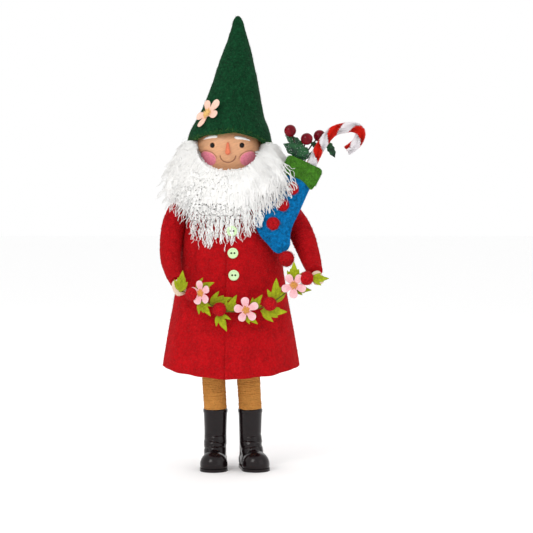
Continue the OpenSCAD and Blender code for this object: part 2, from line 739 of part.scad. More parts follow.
// One pointed lobe of a leaf, from the origin to +Y
module lobe(long, wide) {
    polygon([for (k = [0 : 12]) [wide / 2 * sin(15 * k) * (1.25 - 0.5 * k / 12), long * k / 12],
        for (k = [11 : -1 : 1]) [-wide / 2 * sin(15 * k) * (1.25 - 0.5 * k / 12), long * k / 12]]);
}

// A felt leaf with three pointed lobes, in the XY plane with its longest towards +Y
module trefoil(long) {
    linear_extrude(leaf_t) {
        lobe(long, 0.36 * long);
        for (s = [-1, 1]) rotate(34 * s) lobe(0.66 * long, 0.26 * long);
        circle(0.1 * long, $fn = 16);
    }
}

// Each leaf: base X and Z, direction (0 is to the figure's left, 90 is up), length, how far
// behind the cord's plane it lies, and how far its tip leans forwards
leaves_right = [[-30, 161.5, 20, 18, 4.4, 0], [-26.5, 152.5, 304, 17, 2.1, 2],
    [-18, 148.4, 20, 21, 4.2, 0]];
leaves_middle = [[-3, 142.6, 56, 17.5, 2.2, 0], [-10, 141.5, 296, 17.5, 2.4, 8],
    [12, 141.6, 326, 15.5, 1.9, 0], [18.5, 144.8, 54, 16, 4, 0]];
leaves_left = [[26.5, 143.5, 354, 23, 2.2, 2], [39, 149.4, 86, 22.5, 3.6, 0],
    [55.2, 166, 87, 20, 1.9, 0], [55, 163, 350, 15.5, 3.4, 0]];

module leaf(l) {
    difference() {
        translate([l[0], garland_y + l[4], l[1]]) rotate([90, 0, 0]) rotate(l[2] - 90)
            rotate([l[5], 0, 0]) trefoil(l[3]);
        for (p = ball_places) translate([p[0], garland_y, p[1]])
            sphere(ball_d / 2 + 0.15, $fn = round_fn);
    }
}

module garland_leaves_right() { color("#a9b82c") for (l = leaves_right) leaf(l); }
module garland_leaves_middle() { color("#96a52a") for (l = leaves_middle) leaf(l); }
module garland_leaves_left() { color("#a9b82c") for (l = leaves_left) leaf(l); }

// The two end leaves are glued on the hands
module hand_leaf(s) {
    clear = s < 0 ? 2.2 : 0.8;    // the ball beside the right hand swings past its leaf
    color("#96a52a") difference() {
        if (s < 0)
            translate([-42.4, -51.4, 159.8]) rotate([90, 0, 0]) rotate(-6) trefoil(19);
        else
            translate([70.4, -51.4, 172.4]) rotate([90, 0, 0]) rotate(-86) trefoil(17);
        for (p = ball_places) translate([p[0], garland_y, p[1]])
            sphere(ball_d / 2 + clear, $fn = round_fn);
    }
}

// ---------------------------------------------------------------- assembly

translate(body_at) torso_core();
translate(body_at) neck_dowel();
translate(body_at) arm_wire();
translate(body_at) leg_dowel(-1);  // right_leg_dowel
translate(body_at) leg_dowel(1);  // left_leg_dowel
translate(body_at) leg_wrap(-1);  // right_leg_wrap
translate(body_at) leg_wrap(1);  // left_leg_wrap
translate(body_at) boot(-1);  // right_boot
translate(body_at) boot(1);  // left_boot
translate(body_at) boot_sole(-1);  // right_boot_sole
translate(body_at) boot_sole(1);  // left_boot_sole
translate(body_at) coat_back();
translate(body_at) coat_right_front();
translate(body_at) coat_left_front();
translate(body_at) coat_buttons();
translate(body_at) sleeve(-1);  // right_sleeve
translate(body_at) sleeve(1);  // left_sleeve
translate(body_at) hand(-1);  // right_hand
translate(body_at) hand(1);  // left_hand
translate(body_at) head_ball();
translate(body_at) face_shell();
translate(body_at) nose();
translate(body_at) eyes();
translate(body_at) eyebrows();
translate(body_at) cheeks();
translate(body_at) hair();
translate(body_at) beard();
translate(body_at) hat();
translate(body_at) hat_stuffing();
translate(body_at) hat_flower();
translate(body_at) hat_flower_stitches();
translate(body_at) stocking_front();
translate(body_at) stocking_back();
translate(body_at) stocking_stuffing();
translate(body_at) stocking_cuff();
translate(body_at) stocking_pompoms();
translate(body_at) stocking_toe_pompom();
translate(body_at) candy_cane_red();
translate(body_at) candy_cane_white();
translate(body_at) holly_stems();
translate(body_at) holly_leaves();
translate(body_at) holly_berries();
translate(body_at) hand_leaf(-1);  // right_hand_leaf
translate(body_at) hand_leaf(1);  // left_hand_leaf
translate(body_at) garland_cord();
translate(body_at) garland_leaves_right();
translate(body_at) garland_leaves_middle();
translate(body_at) garland_leaves_left();
translate(body_at) garland_flower(0);  // garland_flower_1
translate(body_at) garland_flower(1);  // garland_flower_2
translate(body_at) garland_flower(2);  // garland_flower_3
translate(body_at) garland_flower_stitches();
translate(body_at) garland_ball(0);  // garland_ball_1
translate(body_at) garland_ball(1);  // garland_ball_2
translate(body_at) garland_ball(2);  // garland_ball_3
translate(body_at) garland_ball(3);  // garland_ball_4
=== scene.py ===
import math

import bmesh
import bpy
import numpy as np
from mathutils import Matrix, Vector, noise
from mathutils.bvhtree import BVHTree
from mathutils.kdtree import KDTree


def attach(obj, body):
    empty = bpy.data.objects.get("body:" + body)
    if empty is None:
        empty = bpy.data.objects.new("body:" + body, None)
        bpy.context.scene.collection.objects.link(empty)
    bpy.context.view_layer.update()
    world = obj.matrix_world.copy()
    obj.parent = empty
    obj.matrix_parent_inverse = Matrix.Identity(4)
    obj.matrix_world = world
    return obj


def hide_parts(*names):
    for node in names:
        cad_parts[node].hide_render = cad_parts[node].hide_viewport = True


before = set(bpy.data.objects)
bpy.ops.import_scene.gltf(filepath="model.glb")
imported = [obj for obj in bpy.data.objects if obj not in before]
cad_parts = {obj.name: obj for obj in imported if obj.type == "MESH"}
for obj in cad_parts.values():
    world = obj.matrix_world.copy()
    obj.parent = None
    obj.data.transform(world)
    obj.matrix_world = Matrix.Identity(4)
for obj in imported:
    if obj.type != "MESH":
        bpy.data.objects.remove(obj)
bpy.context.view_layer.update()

# noise_vector() starts from the clock unless it is seeded
noise.seed_set(1)

# The pieces are made in millimetres round the figure's own axis, and moved into the
# model's frame, in metres, as they are built.
MM = 0.001
BODY_AT = np.array((-27.2, 3.4, 0.0))
FIGURE, GARLAND, CANE, HOLLY = "figure", "garland", "candy_cane", "holly_sprig"
CAMERA_LENS = 114.2
CAMERA_AT, CAMERA_AIM = (31.5, -1498, 257.7), (31.5, 0, 179.2)


def in_row(points):
    """Points in millimetres round the figure's axis, as metres in the model's frame."""
    return (np.asarray(points, float) + BODY_AT) * MM


def linked(name, data):
    """A new object in the scene."""
    made = bpy.data.objects.new(name, data)
    bpy.context.scene.collection.objects.link(made)
    return made


def look_from(thing, place, aim):
    """Puts a lamp or camera at a place in metres and points it at another."""
    place, aim = Vector(place), Vector(aim)
    thing.location = place
    thing.rotation_euler = (aim - place).to_track_quat("-Z", "Y").to_euler()


# ------------------------------------------------------------------ camera and light


def make_camera():
    """The photograph's view: from in front, at the beard's height, tilted a little down."""
    data = bpy.data.cameras.new("camera")
    data.lens = CAMERA_LENS
    data.sensor_width = 36
    data.clip_start = 0.05
    camera = linked("camera", data)
    look_from(camera, in_row(CAMERA_AT), in_row(CAMERA_AIM))
    bpy.context.scene.camera = camera


def area_light(name, place, aim, size, power, colour=(1, 1, 1)):
    """A square lamp, pointed at `aim`."""
    data = bpy.data.lights.new(name, "AREA")
    data.size = size
    data.energy = power
    data.color = colour
    look_from(linked(name, data), place, aim)


def make_studio():
    """White surroundings with a soft key, a fill and a light from behind."""
    world = bpy.data.worlds.new("studio")
    world.use_nodes = True
    background = world.node_tree.nodes["Background"]
    background.inputs["Color"].default_value = (1.0, 1.0, 1.0, 1)
    background.inputs["Strength"].default_value = 1.0
    bpy.context.scene.world = world
    bpy.context.scene.view_settings.view_transform = "Standard"
    area_light("key", (-0.75, -1.15, 1.05), (0, 0, 0.2), 0.6, 7, (1, 0.985, 0.96))
    area_light("fill", (1.1, -0.9, 0.6), (0, 0, 0.2), 1.0, 1.5, (0.97, 0.985, 1))
    area_light("rim", (0.3, 1.2, 0.9), (0, 0, 0.25), 0.9, 3)


def make_floor():
    """The pale floor that the figure stands on, which isn't part of it."""
    half = 6.0
    mesh = bpy.data.meshes.new("floor")
    corners = [(x * half, y * half, 0) for x, y in ((-1, -1), (1, -1), (1, 1), (-1, 1))]
    mesh.from_pydata(corners, [], [(0, 1, 2, 3)])
    floor = linked("floor", mesh)
    floor.data.materials.append(plain("floor_paint", (0.98, 0.98, 0.98), 1.0))


# ------------------------------------------------------------------ materials


def new_material(name):
    """A material, its node tree and its shader."""
    material = bpy.data.materials.new(name)
    material.use_nodes = True
    return material, material.node_tree, material.node_tree.nodes["Principled BSDF"]


def plain(name, colour, roughness, sheen=0.0, specular=0.12):
    """One even colour, for fibres too thin to show any grain."""
    material, _, shader = new_material(name)
    shader.inputs["Base Color"].default_value = (*colour, 1)
    shader.inputs["Roughness"].default_value = roughness
    shader.inputs["Specular IOR Level"].default_value = specular
    shader.inputs["Sheen Weight"].default_value = sheen
    return material


def noise_node(tree, scale, detail, roughness=0.55, distortion=0.0, stretch=(1, 1, 1)):
    """Noise over the object's own space."""
    coordinates = tree.nodes.new("ShaderNodeTexCoord")
    mapping = tree.nodes.new("ShaderNodeMapping")
    mapping.inputs["Scale"].default_value = stretch
    texture = tree.nodes.new("ShaderNodeTexNoise")
    texture.inputs["Scale"].default_value = scale
    texture.inputs["Detail"].default_value = detail
    texture.inputs["Roughness"].default_value = roughness
    texture.inputs["Distortion"].default_value = distortion
    tree.links.new(coordinates.outputs["Object"], mapping.inputs["Vector"])
    tree.links.new(mapping.outputs["Vector"], texture.inputs["Vector"])
    return texture


def ramp_node(tree, source, stops):
    """Turns a factor into a colour by (place, colour) stops."""
    ramp = tree.nodes.new("ShaderNodeValToRGB")
    while len(ramp.color_ramp.elements) < len(stops):
        ramp.color_ramp.elements.new(0.5)
    for element, (place, colour) in zip(ramp.color_ramp.elements, stops):
        element.position = place
        element.color = (*colour, 1)
    tree.links.new(source, ramp.inputs["Fac"])
    return ramp


def shade(colour, factor):
    """A colour made darker or lighter."""
    return tuple(min(1.0, c * factor) for c in colour)


def bump_chain(tree, shader, layers):
    """Adds bump layers of (noise scale, detail, distance in metres) to the shader's normal."""
    last = None
    for scale, detail, distance in layers:
        texture = noise_node(tree, scale, detail, 0.65)
        bump = tree.nodes.new("ShaderNodeBump")
        bump.inputs["Distance"].default_value = distance
        bump.inputs["Strength"].default_value = 1.0
        tree.links.new(texture.outputs["Fac"], bump.inputs["Height"])
        if last is not None:
            tree.links.new(last.outputs["Normal"], bump.inputs["Normal"])
        last = bump
    tree.links.new(last.outputs["Normal"], shader.inputs["Normal"])


def multiplied(tree, colour, attribute):
    """A colour multiplied by the one that each point of the piece was given."""
    layer = tree.nodes.new("ShaderNodeVertexColor")
    layer.layer_name = attribute
    blend = tree.nodes.new("ShaderNodeMix")
    blend.data_type = "RGBA"
    blend.blend_type = "MULTIPLY"
    blend.clamp_result = False
    blend.inputs["Factor"].default_value = 1.0
    tree.links.new(colour, blend.inputs[6])
    tree.links.new(layer.outputs["Color"], blend.inputs[7])
    return blend


def mottled(name, colour, dark, light, patch=230, grain=700, mix=0.55, roughness=0.95,
            sheen=0.06, bumps=((420, 7, 0.0009), (1800, 4, 0.0003)), tint=None, relief=None,
            specular=0.1):
    """A material whose colour wanders in broad patches and again in fine grain."""
    material, tree, shader = new_material(name)
    patches = noise_node(tree, patch, 4, 0.6, 0.6)
    grains = noise_node(tree, grain, 5, 0.7)
    broad = ramp_node(tree, patches.outputs["Fac"],
                      [(0.3, shade(colour, dark)), (0.5, colour), (0.7, shade(colour, light))])
    fine = ramp_node(tree, grains.outputs["Fac"],
                     [(0.32, shade(colour, dark * 0.8)), (0.5, colour),
                      (0.68, shade(colour, light * 1.15))])
    blend = tree.nodes.new("ShaderNodeMix")
    blend.data_type = "RGBA"
    blend.inputs["Factor"].default_value = mix
    tree.links.new(broad.outputs["Color"], blend.inputs[6])
    tree.links.new(fine.outputs["Color"], blend.inputs[7])
    last = blend
    if relief is not None:
        last = multiplied(tree, blend.outputs[2], relief)
    tree.links.new(last.outputs[2], shader.inputs["Base Color"])
    shader.inputs["Roughness"].default_value = roughness
    shader.inputs["Specular IOR Level"].default_value = specular
    shader.inputs["Sheen Weight"].default_value = sheen
    shader.inputs["Sheen Roughness"].default_value = 0.45
    shader.inputs["Sheen Tint"].default_value = (*(tint or shade(colour, 1.6)), 1)
    bump_chain(tree, shader, bumps)
    return material


def glossy(name, colour, light, roughness, coat, bumps=((300, 2, 0.0001),), patch=180,
           specular=0.25):
    """A smooth skin that wanders between two colours, under a clear coat."""
    material, tree, shader = new_material(name)
    patches = noise_node(tree, patch, 3)
    ramp = ramp_node(tree, patches.outputs["Fac"], [(0.35, colour), (0.65, light)])
    tree.links.new(ramp.outputs["Color"], shader.inputs["Base Color"])
    shader.inputs["Roughness"].default_value = roughness
    shader.inputs["Specular IOR Level"].default_value = specular
    shader.inputs["Coat Weight"].default_value = coat
    shader.inputs["Coat Roughness"].default_value = 0.08
    bump_chain(tree, shader, bumps)
    return material


def painted(name, attribute, roughness, bumps):
    """Paint whose colour is worked out for each point of the piece, with a fine grain."""
    material, tree, shader = new_material(name)
    grains = noise_node(tree, 1300, 4, 0.7)
    ramp = ramp_node(tree, grains.outputs["Fac"],
                     [(0.3, (0.90, 0.88, 0.86)), (0.7, (1.0, 1.0, 1.0))])
    blend = multiplied(tree, ramp.outputs["Color"], attribute)
    tree.links.new(blend.outputs[2], shader.inputs["Base Color"])
    shader.inputs["Roughness"].default_value = roughness
    shader.inputs["Coat Weight"].default_value = 0.12
    shader.inputs["Coat Roughness"].default_value = 0.3
    bump_chain(tree, shader, bumps)
    return material


def make_materials():
    """Every material, by the name that the pieces ask for it by."""
    return {
        "coat": mottled("coat_felt", (0.41, 0.0035, 0.0065), 0.62, 1.35, 120, 620, 0.5),
        "hat": mottled("hat_felt", (0.0032, 0.036, 0.0125), 0.34, 2.1, 180, 560, 0.6),
        "stocking": mottled("stocking_felt", (0.001, 0.135, 0.355), 0.22, 1.5, 300, 480, 0.66),
        "cuff": mottled("cuff_felt", (0.040, 0.140, 0.012), 0.36, 1.8, 260, 560, 0.6),
        "leaf": mottled("leaf_felt", (0.33, 0.38, 0.014), 0.66, 1.25, 180, 620, 0.5,
                        relief="paint"),
        "petal": mottled("petal_felt", (0.84, 0.47, 0.50), 0.88, 1.10, 300, 800, 0.5,
                         relief="paint"),
        "hat_petal": mottled("hat_petal_felt", (0.86, 0.53, 0.42), 0.86, 1.10, 300, 800, 0.5,
                             relief="paint"),
        "thread": mottled("ochre_thread", (0.66, 0.30, 0.075), 0.7, 1.3, 500, 1500, 0.5),
        "hat_thread": mottled("gold_thread", (0.80, 0.50, 0.18), 0.75, 1.2, 500, 1500, 0.5),
        "red_wool": mottled("red_wool", (0.42, 0.005, 0.009), 0.34, 1.7, 420, 900, 0.6),
        "sleeve": mottled("sleeve_yarn", (0.39, 0.0035, 0.0065), 0.60, 1.35, 200, 800, 0.45),
        "leg": mottled("leg_yarn", (0.53, 0.235, 0.055), 0.78, 1.2, 200, 800, 0.45),
        "cream": mottled("hand_felt", (0.74, 0.56, 0.43), 0.85, 1.1, 300, 900, 0.5),
        "cord": mottled("garland_twine", (0.10, 0.11, 0.02), 0.7, 1.4, 900, 2600, 0.5),
        "boot": glossy("boot_plastic", (0.005, 0.0022, 0.0028), (0.009, 0.0045, 0.005), 0.2, 0.0,
                       specular=0.27),
        "button": glossy("button_plastic", (0.56, 0.76, 0.42), (0.62, 0.82, 0.48), 0.3, 0.15),
        # Near-black plugs for the button holes: painted shade inside them
        "hole": plain("button_hole_thread", (0.012, 0.008, 0.006), 0.9),
        "bead": glossy("eye_bead", (0.0015, 0.0015, 0.0015), (0.0025, 0.0025, 0.0025), 0.1, 0.0,
                       specular=0.22),
        "berry": glossy("berry_skin", (0.105, 0.0004, 0.005), (0.190, 0.0008, 0.009), 0.12, 0.0,
                         specular=0.14),
        "holly": glossy("holly_skin", (0.004, 0.026, 0.012), (0.016, 0.105, 0.030), 0.36, 0.02),
        "stem": mottled("stem_bark", (0.03, 0.022, 0.014), 0.6, 1.5, 900, 2600, 0.5),
        "glitter": plain("silver_fleck", (0.82, 0.85, 0.86), 0.2, specular=0.5),
        "face": painted("face_paint", "paint", 0.42, ((900, 4, 0.00012),)),
        "nose": mottled("nose_paint", (0.70, 0.185, 0.095), 0.85, 1.15, 220, 900, 0.4, 0.5, 0.0,
                        ((900, 3, 0.0001),)),
        "cheek": mottled("cheek_paint", (0.74, 0.225, 0.30), 0.84, 1.20, 350, 800, 0.55, 0.7, 0.0,
                         ((900, 4, 0.00012),)),
        "brow": mottled("brow_paint", (0.92, 0.90, 0.87), 0.92, 1.05, 500, 1800, 0.4, 0.5, 0.0,
                        ((900, 3, 0.00015),)),
        "fleece_1": plain("fleece_white", (0.97, 0.965, 0.955), 0.9),
        "fleece_2": plain("fleece_warm", (0.95, 0.94, 0.915), 0.9),
        "fleece_3": plain("fleece_cool", (0.93, 0.93, 0.92), 0.9),
        "fleece": mottled("fleece_bed", (0.82, 0.815, 0.80), 0.90, 1.05, 260, 1500, 0.5, 0.95, 0.1,
                          ((500, 6, 0.0006), (2200, 3, 0.0003)), (1, 1, 1)),
        "pile_red": plain("pile_red", (0.74, 0.018, 0.008), 0.9, 0.1),
        "pile_white": plain("pile_white", (0.97, 0.93, 0.96), 0.9, 0.1),
        "core_red": mottled("cane_core_red", (0.66, 0.016, 0.008), 0.7, 1.3),
        "core_white": mottled("cane_core_white", (0.92, 0.87, 0.90), 0.9, 1.05),
        "fuzz_red": plain("fibre_red", (0.46, 0.009, 0.013), 0.9, 0.1),
        "fuzz_sleeve": plain("fibre_dark_red", (0.44, 0.007, 0.011), 0.9, 0.1),
        "fuzz_green": plain("fibre_green", (0.012, 0.085, 0.026), 0.9, 0.1),
        "fuzz_blue": plain("fibre_blue", (0.006, 0.19, 0.46), 0.9, 0.1),
        "fuzz_cuff": plain("fibre_cuff", (0.08, 0.22, 0.03), 0.9, 0.1),
        "wood": mottled("bare_wood", (0.60, 0.42, 0.24), 0.8, 1.15, 60, 700, 0.4, 0.6, 0.0),
        "foam": mottled("core_foam", (0.85, 0.85, 0.84), 0.92, 1.05, 500, 1800, 0.5, 0.9, 0.0),
        "wadding": mottled("wadding", (0.86, 0.86, 0.85), 0.9, 1.05, 300, 1500, 0.5),
        "steel": glossy("wire_steel", (0.50, 0.50, 0.51), (0.6, 0.6, 0.61), 0.35, 0.0),
    }


# ------------------------------------------------------------------ mesh building


def mesh_piece(name, points, faces, material, body, hides=(), slot=None):
    """A new piece from points in millimetres round the figure's axis."""
    mesh = bpy.data.meshes.new(name)
    if isinstance(faces, np.ndarray):
        faces = faces.tolist()
    mesh.from_pydata(in_row(points).tolist(), [], faces)
    mesh.validate()
    mesh.polygons.foreach_set("use_smooth", [True] * len(mesh.polygons))
    piece = linked(name, mesh)
    mesh.materials.append(material)
    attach(piece, body)
    if hides:
        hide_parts(*hides)
    return piece


def grid_quads(rows, cols, wrap=False, first=0):
    """The four-sided faces between the points of a grid, numbered from `first`."""
    index = first + np.arange(rows * cols).reshape(rows, cols)
    if wrap:
        index = np.concatenate([index, index[:, :1]], axis=1)
    return np.stack([index[:-1, :-1], index[:-1, 1:], index[1:, 1:], index[1:, :-1]],
                    axis=-1).reshape(-1, 4)


def unit(vectors):
    """Vectors brought to a length of one."""
    length = np.linalg.norm(vectors, axis=-1, keepdims=True)
    return vectors / np.maximum(length, 1e-9)


def spline(a, b, c, d, per):
    """`per` points of a smooth curve from b towards c, between a before them and d after."""
    return [0.5 * (2 * b + (c - a) * t + (2 * a - 5 * b + 4 * c - d) * t * t
                   + (3 * b - a - 3 * c + d) * t ** 3)
            for t in (k / per for k in range(per))]


def catmull(points, per):
    """A smooth curve through given points, with `per` steps between neighbours."""
    points = np.asarray(points, float)
    last = len(points) - 1
    out = []
    for i in range(last):
        out += spline(points[max(i - 1, 0)], points[i], points[i + 1],
                      points[min(i + 2, last)], per)
    return np.array(out + [points[-1]])


def closed_curve(points, per):
    """The same for an outline that comes back to its first point."""
    points = np.asarray(points, float)
    count = len(points)
    out = []
    for i in range(count):
        out += spline(points[i - 1], points[i], points[(i + 1) % count],
                      points[(i + 2) % count], per)
    return np.array(out)


def wobble(points, size, wave, seed):
    """Smooth noise between -size and size at each point, over waves that many mm long."""
    offset = Vector((seed * 17.3, seed * 5.1, seed * 9.7))
    return np.array([size * noise.noise(Vector(p) / wave + offset) for p in points])


def edge_steps(length, count, radius):
    """Distances along a felt edge-to-edge line, closer together where the edge rounds over."""
    ends = np.array([0, 0.12, 0.4, 1.0]) * radius
    middle = np.linspace(radius, length - radius, count)[1:-1]
    return np.concatenate([ends, middle, length - ends[::-1]])


def rounding(steps, length, radius):
    """How thick felt is at each step, as a share of its full thickness."""
    inside = np.minimum(np.minimum(steps, length - steps), radius)
    return np.sqrt(np.maximum(radius ** 2 - (radius - inside) ** 2, 0)) / radius


def grid_normals(grid, wrap):
    """Which way a grid of points faces at each of them; wrap where its columns meet."""
    across = np.gradient(grid, axis=1)
    if wrap:
        across = (np.roll(grid, -1, axis=1) - np.roll(grid, 1, axis=1)) / 2
    along = np.gradient(grid, axis=0)
    return unit(np.cross(across, along))


def felt_shell(grid, thickness, round_rows, round_cols, rough, seed):
    """A closed felt sheet behind a grid of points on its outside; its edges are rounded."""
    rows, cols, _ = grid.shape
    normals = grid_normals(grid, False)
    share = (round_rows[:, None] * round_cols[None, :])[:, :, None]
    flat = grid.reshape(-1, 3)
    bumps = wobble(flat, rough, 7, seed) + wobble(flat, rough * 0.5, 1.9, seed + 1)
    bumps = bumps.reshape(rows, cols, 1)
    middle = grid - normals * thickness / 2
    outside = middle + normals * (thickness / 2 * share + bumps * share)
    inside = middle - normals * (thickness / 2 * share)
    points = np.concatenate([outside.reshape(-1, 3), inside.reshape(-1, 3)])
    below = rows * cols
    front = grid_quads(rows, cols)
    back = grid_quads(rows, cols, False, below)[:, ::-1]
    index = np.arange(below).reshape(rows, cols)

    def bridge(line, turned_over):
        a, b = line[:-1], line[1:]
        strip = np.stack([a, a + below, b + below, b], axis=-1)
        return strip[:, ::-1] if turned_over else strip

    rims = [bridge(index[0], False), bridge(index[-1], True),
            bridge(index[:, 0], False), bridge(index[:, -1], True)]
    return points, np.concatenate([front, back, *rims])


def thin_shell(front, back):
    """A closed thin sheet between two grids of points."""
    rows, cols, _ = front.shape
    points = np.concatenate([front.reshape(-1, 3), back.reshape(-1, 3)])
    below = rows * cols
    faces = grid_quads(rows, cols)[:, ::-1].tolist()
    faces += grid_quads(rows, cols, False, below).tolist()
    index = np.arange(below).reshape(rows, cols)
    for line in (index[0], index[-1][::-1], index[:, 0][::-1], index[:, -1]):
        faces += [[int(a), int(b), int(b) + below, int(a) + below]
                  for a, b in zip(line[:-1], line[1:])]
    return points, faces


def tube_grid(path, radii, sides, side=(0, 1, 0.2), ripple=None):
    """Rings of points round a path; ripple(s, angle) adds to the radius s mm along it."""
    path = np.asarray(path, float)
    tangents = unit(np.gradient(path, axis=0))
    u = unit(np.cross(np.asarray(side, float), tangents))
    v = np.cross(tangents, u)
    angles = np.linspace(0, 2 * math.pi, sides, endpoint=False)
    radius = np.asarray(radii, float)[:, None] * np.ones(sides)
    if ripple is not None:
        steps = np.linalg.norm(np.diff(path, axis=0), axis=1)
        along = np.concatenate([[0], np.cumsum(steps)])
        radius = radius + ripple(along[:, None], angles[None, :])
    ring = np.cos(angles)[None, :, None] * u[:, None] + np.sin(angles)[None, :, None] * v[:, None]
    return path[:, None] + radius[:, :, None] * ring


def capped(grid):
    """Points and faces of a closed tube."""
    rows, cols, _ = grid.shape
    points = np.concatenate([grid.reshape(-1, 3), grid[:1].mean(axis=1), grid[-1:].mean(axis=1)])
    first = np.arange(cols)
    last = (rows - 1) * cols + first
    start, end = rows * cols, rows * cols + 1
    faces = grid_quads(rows, cols, True).tolist()
    faces += [[start, int(b), int(a)] for a, b in zip(first, np.roll(first, -1))]
    faces += [[end, int(a), int(b)] for a, b in zip(last, np.roll(last, -1))]
    return points, faces


def resample(path, step):
    """Points every `step` mm along a path."""
    path = np.asarray(path, float)
    along = np.concatenate([[0], np.cumsum(np.linalg.norm(np.diff(path, axis=0), axis=1))])
    count = max(int(along[-1] / step), 2)
    at = np.linspace(0, along[-1], count)
    return np.stack([np.interp(at, along, path[:, i]) for i in range(3)], axis=1), at / along[-1]


def strands(name, paths, radii, material, body, slot=None, outward=None):
    """Many thin tapered fibres: paths is (fibres, points, 3) and radii (fibres, points).

    outward gives the direction that a fleece faces at a point, so that its fibres take the
    light together, as wool does.
    """
    count, steps, _ = paths.shape
    sides = 3
    tangents = unit(np.gradient(paths, axis=1))
    side = np.where(np.abs(tangents[:, :, 2:3]) > 0.9, np.array([1.0, 0, 0]),
                    np.array([0, 0, 1.0]))
    u = unit(np.cross(side, tangents))
    v = np.cross(tangents, u)
    angles = np.linspace(0, 2 * math.pi, sides, endpoint=False)
    ring = (np.cos(angles)[:, None] * u[:, :, None] + np.sin(angles)[:, None] * v[:, :, None])
    points = paths[:, :, None] + radii[:, :, None, None] * ring
    index = np.arange(count * steps * sides).reshape(count, steps, sides)
    turned = np.roll(index, -1, axis=2)
    quads = np.stack([index[:, :-1], turned[:, :-1], turned[:, 1:], index[:, 1:]], axis=-1)
    faces = quads.reshape(-1, 4).tolist()
    faces += index[:, 0, ::-1].tolist() + index[:, -1].tolist()
    points = points.reshape(-1, 3)
    piece = mesh_piece(name, points, faces, material, body, (), slot)
    if outward is not None:
        facing = unit(0.72 * outward(points) + 0.28 * ring.reshape(-1, 3))
        piece.data.normals_split_custom_set_from_vertices(facing.tolist())
    return piece


def solid_from(shapes, voxel, smoothing):
    """One smooth closed skin round overlapping closed shapes, as (points, faces)."""
    joined = bmesh.new()
    for points, faces in shapes:
        made = [joined.verts.new(p) for p in points]
        for face in faces:
            joined.faces.new([made[i] for i in face])
    mesh = bpy.data.meshes.new("clay")
    joined.to_mesh(mesh)
    joined.free()
    clay = linked("clay", mesh)
    remesh = clay.modifiers.new("remesh", "REMESH")
    remesh.mode = "VOXEL"
    remesh.voxel_size = voxel
    smooth = clay.modifiers.new("smooth", "SMOOTH")
    smooth.iterations = smoothing
    smooth.factor = 0.5
    depsgraph = bpy.context.evaluated_depsgraph_get()
    skin = bpy.data.meshes.new_from_object(clay.evaluated_get(depsgraph))
    points = np.array([tuple(v.co) for v in skin.vertices])
    faces = [list(p.vertices) for p in skin.polygons]
    bpy.data.objects.remove(clay)
    bpy.data.meshes.remove(mesh)
    bpy.data.meshes.remove(skin)
    return points, faces


def prism(outline, low, high):
    """A closed upright prism on an outline."""
    count = len(outline)
    points = [(x, y, low) for x, y in outline] + [(x, y, high) for x, y in outline]
    faces = [list(range(count - 1, -1, -1)), list(range(count, 2 * count))]
    faces += [[k, (k + 1) % count, count + (k + 1) % count, count + k] for k in range(count)]
    return points, faces


def ball(centre, radius, squash=(1, 1, 1), segments=32):
    """A closed ball, or an egg where squash isn't all ones."""
    shape = bmesh.new()
    bmesh.ops.create_uvsphere(shape, u_segments=segments, v_segments=segments // 2, radius=1)
    scale = np.asarray(squash, float) * radius
    points = np.array([tuple(v.co) for v in shape.verts]) * scale + np.asarray(centre, float)
    shape.verts.index_update()
    # Blender gives a sphere's faces in another order on each run
    faces = []
    for face in shape.faces:
        corners = [v.index for v in face.verts]
        first = corners.index(min(corners))
        faces.append(corners[first:] + corners[:first])
    shape.free()
    return points, sorted(faces)


def turned(points, angles_deg, about=(0, 0, 0)):
    """Points turned about X, then Y, then Z."""
    rotation = Matrix.Identity(3)
    for angle, axis in zip(angles_deg, "XYZ"):
        rotation = Matrix.Rotation(math.radians(angle), 3, axis) @ rotation
    about = np.asarray(about, float)
    return (np.asarray(points, float) - about) @ np.array(rotation).T + about


def fuzz(name, piece, count, length, radius, material, body, seed, lift=0.5, keep=None):
    """Short loose fibres that stand off a piece's surface."""
    rng = np.random.default_rng(seed)
    mesh = piece.data
    mesh.calc_loop_triangles()
    corner = np.array([t.vertices[:] for t in mesh.loop_triangles])
    place = np.array([tuple(v.co) for v in mesh.vertices]) / MM - BODY_AT
    a, b, c = place[corner[:, 0]], place[corner[:, 1]], place[corner[:, 2]]
    cross = np.cross(b - a, c - a)
    area = np.linalg.norm(cross, axis=1)
    if keep is not None:
        area = area * keep((a + b + c) / 3, unit(cross))
    pick = rng.choice(len(area), count, p=area / area.sum())
    s, t = rng.random(count), rng.random(count)
    flip = s + t > 1
    s[flip], t[flip] = 1 - s[flip], 1 - t[flip]
    root = a[pick] + s[:, None] * (b - a)[pick] + t[:, None] * (c - a)[pick]
    normal = unit(cross[pick])
    lie = unit(np.cross(normal, rng.normal(size=(count, 3))))
    bend = unit(np.cross(normal, rng.normal(size=(count, 3))))
    reach = length * (0.4 + 1.2 * rng.random(count) ** 2)[:, None, None]
    steps = np.linspace(0, 1, 5)[None, :, None]
    rise = lift * (0.3 + rng.random(count))[:, None, None]
    paths = root[:, None] + reach * (lie[:, None] * steps + bend[:, None] * steps ** 2 * 0.6
                                     + normal[:, None] * rise * np.sin(steps * 2.2))
    radii = radius * np.linspace(1, 0.35, 5)[None, :] * np.ones((count, 1))
    return strands(name, paths, radii, material, body)


def join(*shapes):
    """Several (points, faces) shapes as one."""
    points, faces, count = [], [], 0
    for shape_points, shape_faces in shapes:
        points.append(np.asarray(shape_points, float))
        faces += [[int(i) + count for i in face] for face in shape_faces]
        count += len(shape_points)
    return np.concatenate(points), faces


def paint(piece, colours):
    """Gives each point of a piece its own colour."""
    layer = piece.data.color_attributes.new("paint", "FLOAT_COLOR", "POINT")
    values = np.ones((len(colours), 4))
    values[:, :3] = colours
    layer.data.foreach_set("color", values.ravel())


